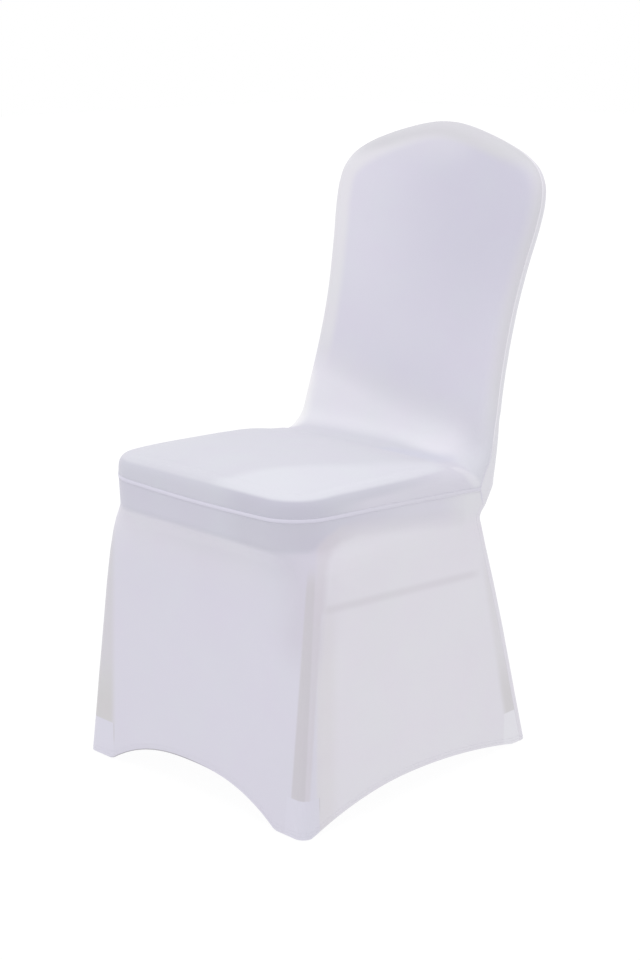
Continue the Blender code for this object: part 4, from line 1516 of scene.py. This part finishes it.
def foot_pocket(name, left, near):
    points = []
    for height, inset in pocket_profile():
        points += pocket_ring(pocket_middle(height, left, near), POCKET_HALF - inset,
                              max(POCKET_ROUND - inset, 0.004), height)
    wide = 4 * POCKET_STEPS
    around = [(i, (i + 1) % wide) for i in range(wide)]
    last = len(points) - wide
    faces = [(k + a, k + b, k + b + wide, k + a + wide)
             for k in range(0, last, wide) for a, b in around]
    for k, fan in ((0, [(b, a) for a, b in around]), (last, around)):
        points.append(np.mean(points[k:k + wide], axis=0))
        faces += [(k + a, k + b, len(points) - 1) for a, b in fan]
    points = np.array(points)
    flat = np.stack([np.arctan2(points[:, 1], points[:, 0]) * 0.02, points[:, 2]], axis=1)
    return mesh_piece(name, points, faces, pocket_paint, flat, crisp=False)


pockets = {}
for end in ("front", "rear"):
    for side in ("left", "right"):
        pockets[f"foot_pocket_{end}_{side}"] = foot_pocket(f"sock_{end}_{side}",
                                                           side == "left", end == "front")

# %% [markdown]
# Seams and stitches follow paths, so Geometry Nodes make them: one tree for the ridge of a
# seam, one for a row of stitches. Both start from a chain of edges, step it evenly, and end
# as real geometry with a material, because the export drops instances.

# %% Parts of a Geometry Nodes tree
def node_group(name, inputs):
    """An empty tree with a mesh going in, named sizes, and a mesh coming out."""
    group = bpy.data.node_groups.new(name, "GeometryNodeTree")
    group.interface.new_socket("Geometry", in_out="INPUT", socket_type="NodeSocketGeometry")
    for label, kind, value in inputs:
        socket = group.interface.new_socket(label, in_out="INPUT", socket_type=kind)
        socket.default_value = value
    group.interface.new_socket("Geometry", in_out="OUTPUT", socket_type="NodeSocketGeometry")
    return group


def add(group, kind, settings=None, sockets=None):
    made = group.nodes.new(kind)
    for key, value in (settings or {}).items():
        setattr(made, key, value)
    for key, value in (sockets or {}).items():
        if isinstance(value, bpy.types.NodeSocket):
            group.links.new(value, made.inputs[key])
        else:
            made.inputs[key].default_value = value
    return made


def path_nodes(group, start, step):
    """The chain of edges as an evenly stepped curve, and its outward way."""
    outward = add(group, "GeometryNodeInputNamedAttribute", {"data_type": "FLOAT_VECTOR"},
                  {"Name": "outward"}).outputs["Attribute"]
    curve = add(group, "GeometryNodeMeshToCurve", None, {"Mesh": start.outputs["Geometry"]})
    even = add(group, "GeometryNodeResampleCurve", {"mode": "LENGTH"},
               {"Curve": curve.outputs["Curve"], "Length": step})
    return even.outputs["Curve"], outward


def end_tree(group, geometry, material):
    """Real geometry in place of instances, and its material."""
    real = add(group, "GeometryNodeRealizeInstances", None, {"Geometry": geometry})
    dressed = add(group, "GeometryNodeSetMaterial", None,
                  {"Geometry": real.outputs["Geometry"], "Material": material})
    end = add(group, "NodeGroupOutput")
    group.links.new(dressed.outputs["Geometry"], end.inputs["Geometry"])
    return group


print("nodes come from one function, add")

# %% [markdown]
# A seam of stretch cloth is a low, round ridge: four layers of cloth under an overlocked
# thread. The tree sweeps a flat oval along the path. The path carries the cover's outward
# way as an attribute, so that the oval lies flat on the cloth all the way round.

# %% A tree for seams
def seam_tree(material):
    group = node_group("seam_ridge", [("Width", "NodeSocketFloat", 0.004),
                                      ("Height", "NodeSocketFloat", 0.002),
                                      ("Step", "NodeSocketFloat", 0.003)])
    start = add(group, "NodeGroupInput")
    even, outward = path_nodes(group, start, start.outputs["Step"])
    framed = add(group, "GeometryNodeSetCurveNormal", {"mode": "FREE"},
                 {"Curve": even, "Normal": outward})
    oval = add(group, "GeometryNodeCurvePrimitiveCircle", None, {"Resolution": 12, "Radius": 0.5})
    size = add(group, "ShaderNodeCombineXYZ", None,
               {0: start.outputs["Height"], 1: start.outputs["Width"], 2: 1.0})
    flat = add(group, "GeometryNodeTransform", None,
               {"Geometry": oval.outputs["Curve"], "Scale": size.outputs[0]})
    swept = add(group, "GeometryNodeCurveToMesh", None,
                {"Curve": framed.outputs["Curve"], "Profile Curve": flat.outputs["Geometry"],
                 "Fill Caps": True})
    return end_tree(group, swept.outputs["Mesh"], material)


seam_ridge = seam_tree(seam_paint.material)
print("tree:", seam_ridge.name)

# %% [markdown]
# A stitch is one bead of a few faces. The tree puts one at each even step, and turns it so
# that it lies along the path and flat on the cloth.

# %% A tree for stitches
def stitch_tree(material):
    group = node_group("stitch_row", [("Pitch", "NodeSocketFloat", 0.0032),
                                      ("Length", "NodeSocketFloat", 0.0024),
                                      ("Thread", "NodeSocketFloat", 0.0005)])
    start = add(group, "NodeGroupInput")
    even, outward = path_nodes(group, start, start.outputs["Pitch"])
    tangent = add(group, "GeometryNodeInputTangent").outputs["Tangent"]
    turn = add(group, "FunctionNodeAxesToRotation", {"primary_axis": "X", "secondary_axis": "Z"},
               {"Primary Axis": tangent, "Secondary Axis": outward})
    bead = add(group, "GeometryNodeMeshUVSphere", None,
               {"Segments": 6, "Rings": 4, "Radius": 0.5})
    thread = start.outputs["Thread"]
    size = add(group, "ShaderNodeCombineXYZ", None,
               {0: start.outputs["Length"], 1: thread, 2: thread})
    placed = add(group, "GeometryNodeInstanceOnPoints", None,
                 {"Points": even, "Instance": bead.outputs["Mesh"],
                  "Rotation": turn.outputs["Rotation"], "Scale": size.outputs[0]})
    return end_tree(group, placed.outputs["Instances"], material)


stitch_row = stitch_tree(thread_paint.material)
print("tree:", stitch_row.name)

# %% [markdown]
# A tree runs as a modifier on a path. Its sizes are set by the sockets' identifiers before
# the path is first evaluated. The evaluated result becomes a plain mesh, so nothing live is
# left.

# %% From a path to a plain mesh
def grown(name, points, ways, group, sizes):
    """Run a tree along a path and keep the result as a plain mesh piece."""
    points = np.asarray(points) - ORIGIN
    chain = bpy.data.meshes.new(name + "_path")
    chain.from_pydata(points.tolist(), [(i, i + 1) for i in range(len(points) - 1)], [])
    attribute = chain.attributes.new("outward", "FLOAT_VECTOR", "POINT")
    attribute.data.foreach_set("vector", np.asarray(ways, float).ravel())
    guide = bpy.data.objects.new(name + "_path", chain)
    bpy.context.collection.objects.link(guide)
    modifier = guide.modifiers.new("tree", "NODES")
    modifier.node_group = group
    for item in group.interface.items_tree:
        if item.in_out == "INPUT" and item.name in sizes:
            modifier[item.identifier] = sizes[item.name]
    mesh = bpy.data.meshes.new_from_object(
        guide.evaluated_get(bpy.context.evaluated_depsgraph_get()))
    bpy.data.objects.remove(guide, do_unlink=True)
    mesh.shade_smooth()
    return put_down(name, mesh)


print("sizes of a seam:", [item.name for item in seam_ridge.interface.items_tree
                           if item.in_out == "INPUT"][1:])

# %% [markdown]
# A light line about 5 mm wide runs round the band, and a finer one up each side of the back
# and over the crown. The seam from the band's rear corner down to each rear foot is as
# fine. Ridges stand on the outer face of the cloth.

# %% Seams
FULL_SEAM = {"Width": 0.0056, "Height": 0.0022, "Step": 0.003}
FINE_SEAM = {"Width": 0.0030, "Height": 0.0018, "Step": 0.003}
SEAM_LIFT = 0.00075


def lifted(stations):
    """A path along a seam, raised off the middle of the cloth."""
    seam = np.array([s.seam for s in stations])
    ways = np.array([s.outward for s in stations])
    seam = seam + ways * crease_heights(seam)[:, None]
    return seam + ways * SEAM_LIFT, ways


band_path = [s.mirrored() for s in SEAT[:0:-1]] + SEAT
band_seam = grown("band_seam", *lifted(band_path), seam_ridge, FULL_SEAM)
rim_side = [Station(seam, seam, ACROSS, 0) for seam in LOWER_SEAM]
rim_side = [Station(SEAT[-1].seam, SEAT[-1].seam, ACROSS, 0)] + rim_side
rim_side += [slab_station(*at, forward=True) for at in SIDE_RIM + CROWN_RIM[1:]]
rim_path = rim_side + [s.mirrored() for s in rim_side[-2::-1]]
back_seam = grown("back_seam", *lifted(rim_path), seam_ridge, FINE_SEAM)
leg_path = [Station(row[-1], row[-1], ACROSS, 0) for row in SKIRT_ROWS]
leg_seams = [grown("leg_seam_left", *lifted(leg_path), seam_ridge, FINE_SEAM),
             grown("leg_seam_right", *lifted([s.mirrored() for s in leg_path]), seam_ridge,
                   FINE_SEAM)]

# %% [markdown]
# Two rows of stitches hold the hem, and one row runs on each side of the band's seam. The
# rows at the hem follow rows of the net. Those beside the seam are found as the nearest
# places on the finished cloth, a little above and below the seam.

# %% Stitches
STITCH = {"Pitch": 0.0034, "Length": 0.0026, "Thread": 0.0005}
STITCHES_OFF_SEAM = 0.0042
ABOVE_MIDDLE = 0.00105
ABOVE_FACE = 0.00012
SEARCH_FROM = 0.003


def on_surface(cloth, ids):
    """A path along one row of a net, on the outer face of the cloth."""
    ids = np.array(ids)
    return cloth.middle[ids] + cloth.normals[ids] * ABOVE_MIDDLE, cloth.normals[ids]


def beside_seam(piece, stations, step):
    """A path on a piece's outer face, a step above or below its seam."""
    tree = BVHTree.FromObject(piece, bpy.context.evaluated_depsgraph_get())
    points, ways = [], []
    for station in stations:
        near = station.seam + station.outward * SEARCH_FROM + (0.0, 0.0, step)
        place, normal, _, _ = tree.find_nearest(Vector(near - ORIGIN))
        points.append(np.array(place) + np.array(normal) * ABOVE_FACE + ORIGIN)
        ways.append(np.array(normal))
    return np.array(points), np.array(ways)


stitches = {"front": [], "back": [], "skirt": []}
for label, row in (("low", -3), ("high", -5)):
    path = on_surface(skirt, skirt_ids[row])
    stitches["skirt"].append(grown("skirt_hem_stitches_" + label, *path, stitch_row, STITCH))
for label, row in (("low", 2), ("high", 4)):
    path = on_surface(back, back_row(row))
    stitches["back"].append(grown("back_hem_stitches_" + label, *path, stitch_row, STITCH))
path = beside_seam(front_cloth, band_path, STITCHES_OFF_SEAM)
stitches["front"].append(grown("band_stitches_high", *path, stitch_row, STITCH))
path = beside_seam(skirt_cloth, band_path, -STITCHES_OFF_SEAM)
stitches["skirt"].append(grown("band_stitches_low", *path, stitch_row, STITCH))

# %% [markdown]
# Each piece rides on the frame's one body. The solid that each cut piece and each pocket
# stands for is hidden. Unstretched, the cut pieces would cover about a seventh less area
# than they cover now.

for piece, node in ((front_cloth, "front_panel"), (back_cloth, "back_panel"),
                    (skirt_cloth, "skirt")):
    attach(piece, "root")
    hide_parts(node)
for node, piece in pockets.items():
    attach(piece, "root")
    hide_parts(node)
trims = [skirt_hem, back_hem, band_seam, back_seam, *leg_seams,
         *(piece for row in stitches.values() for piece in row)]
for piece in trims:
    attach(piece, "root")
print("pieces declared:", 3 + len(pockets) + len(trims))

# %% [markdown]
# that the two can be compared.
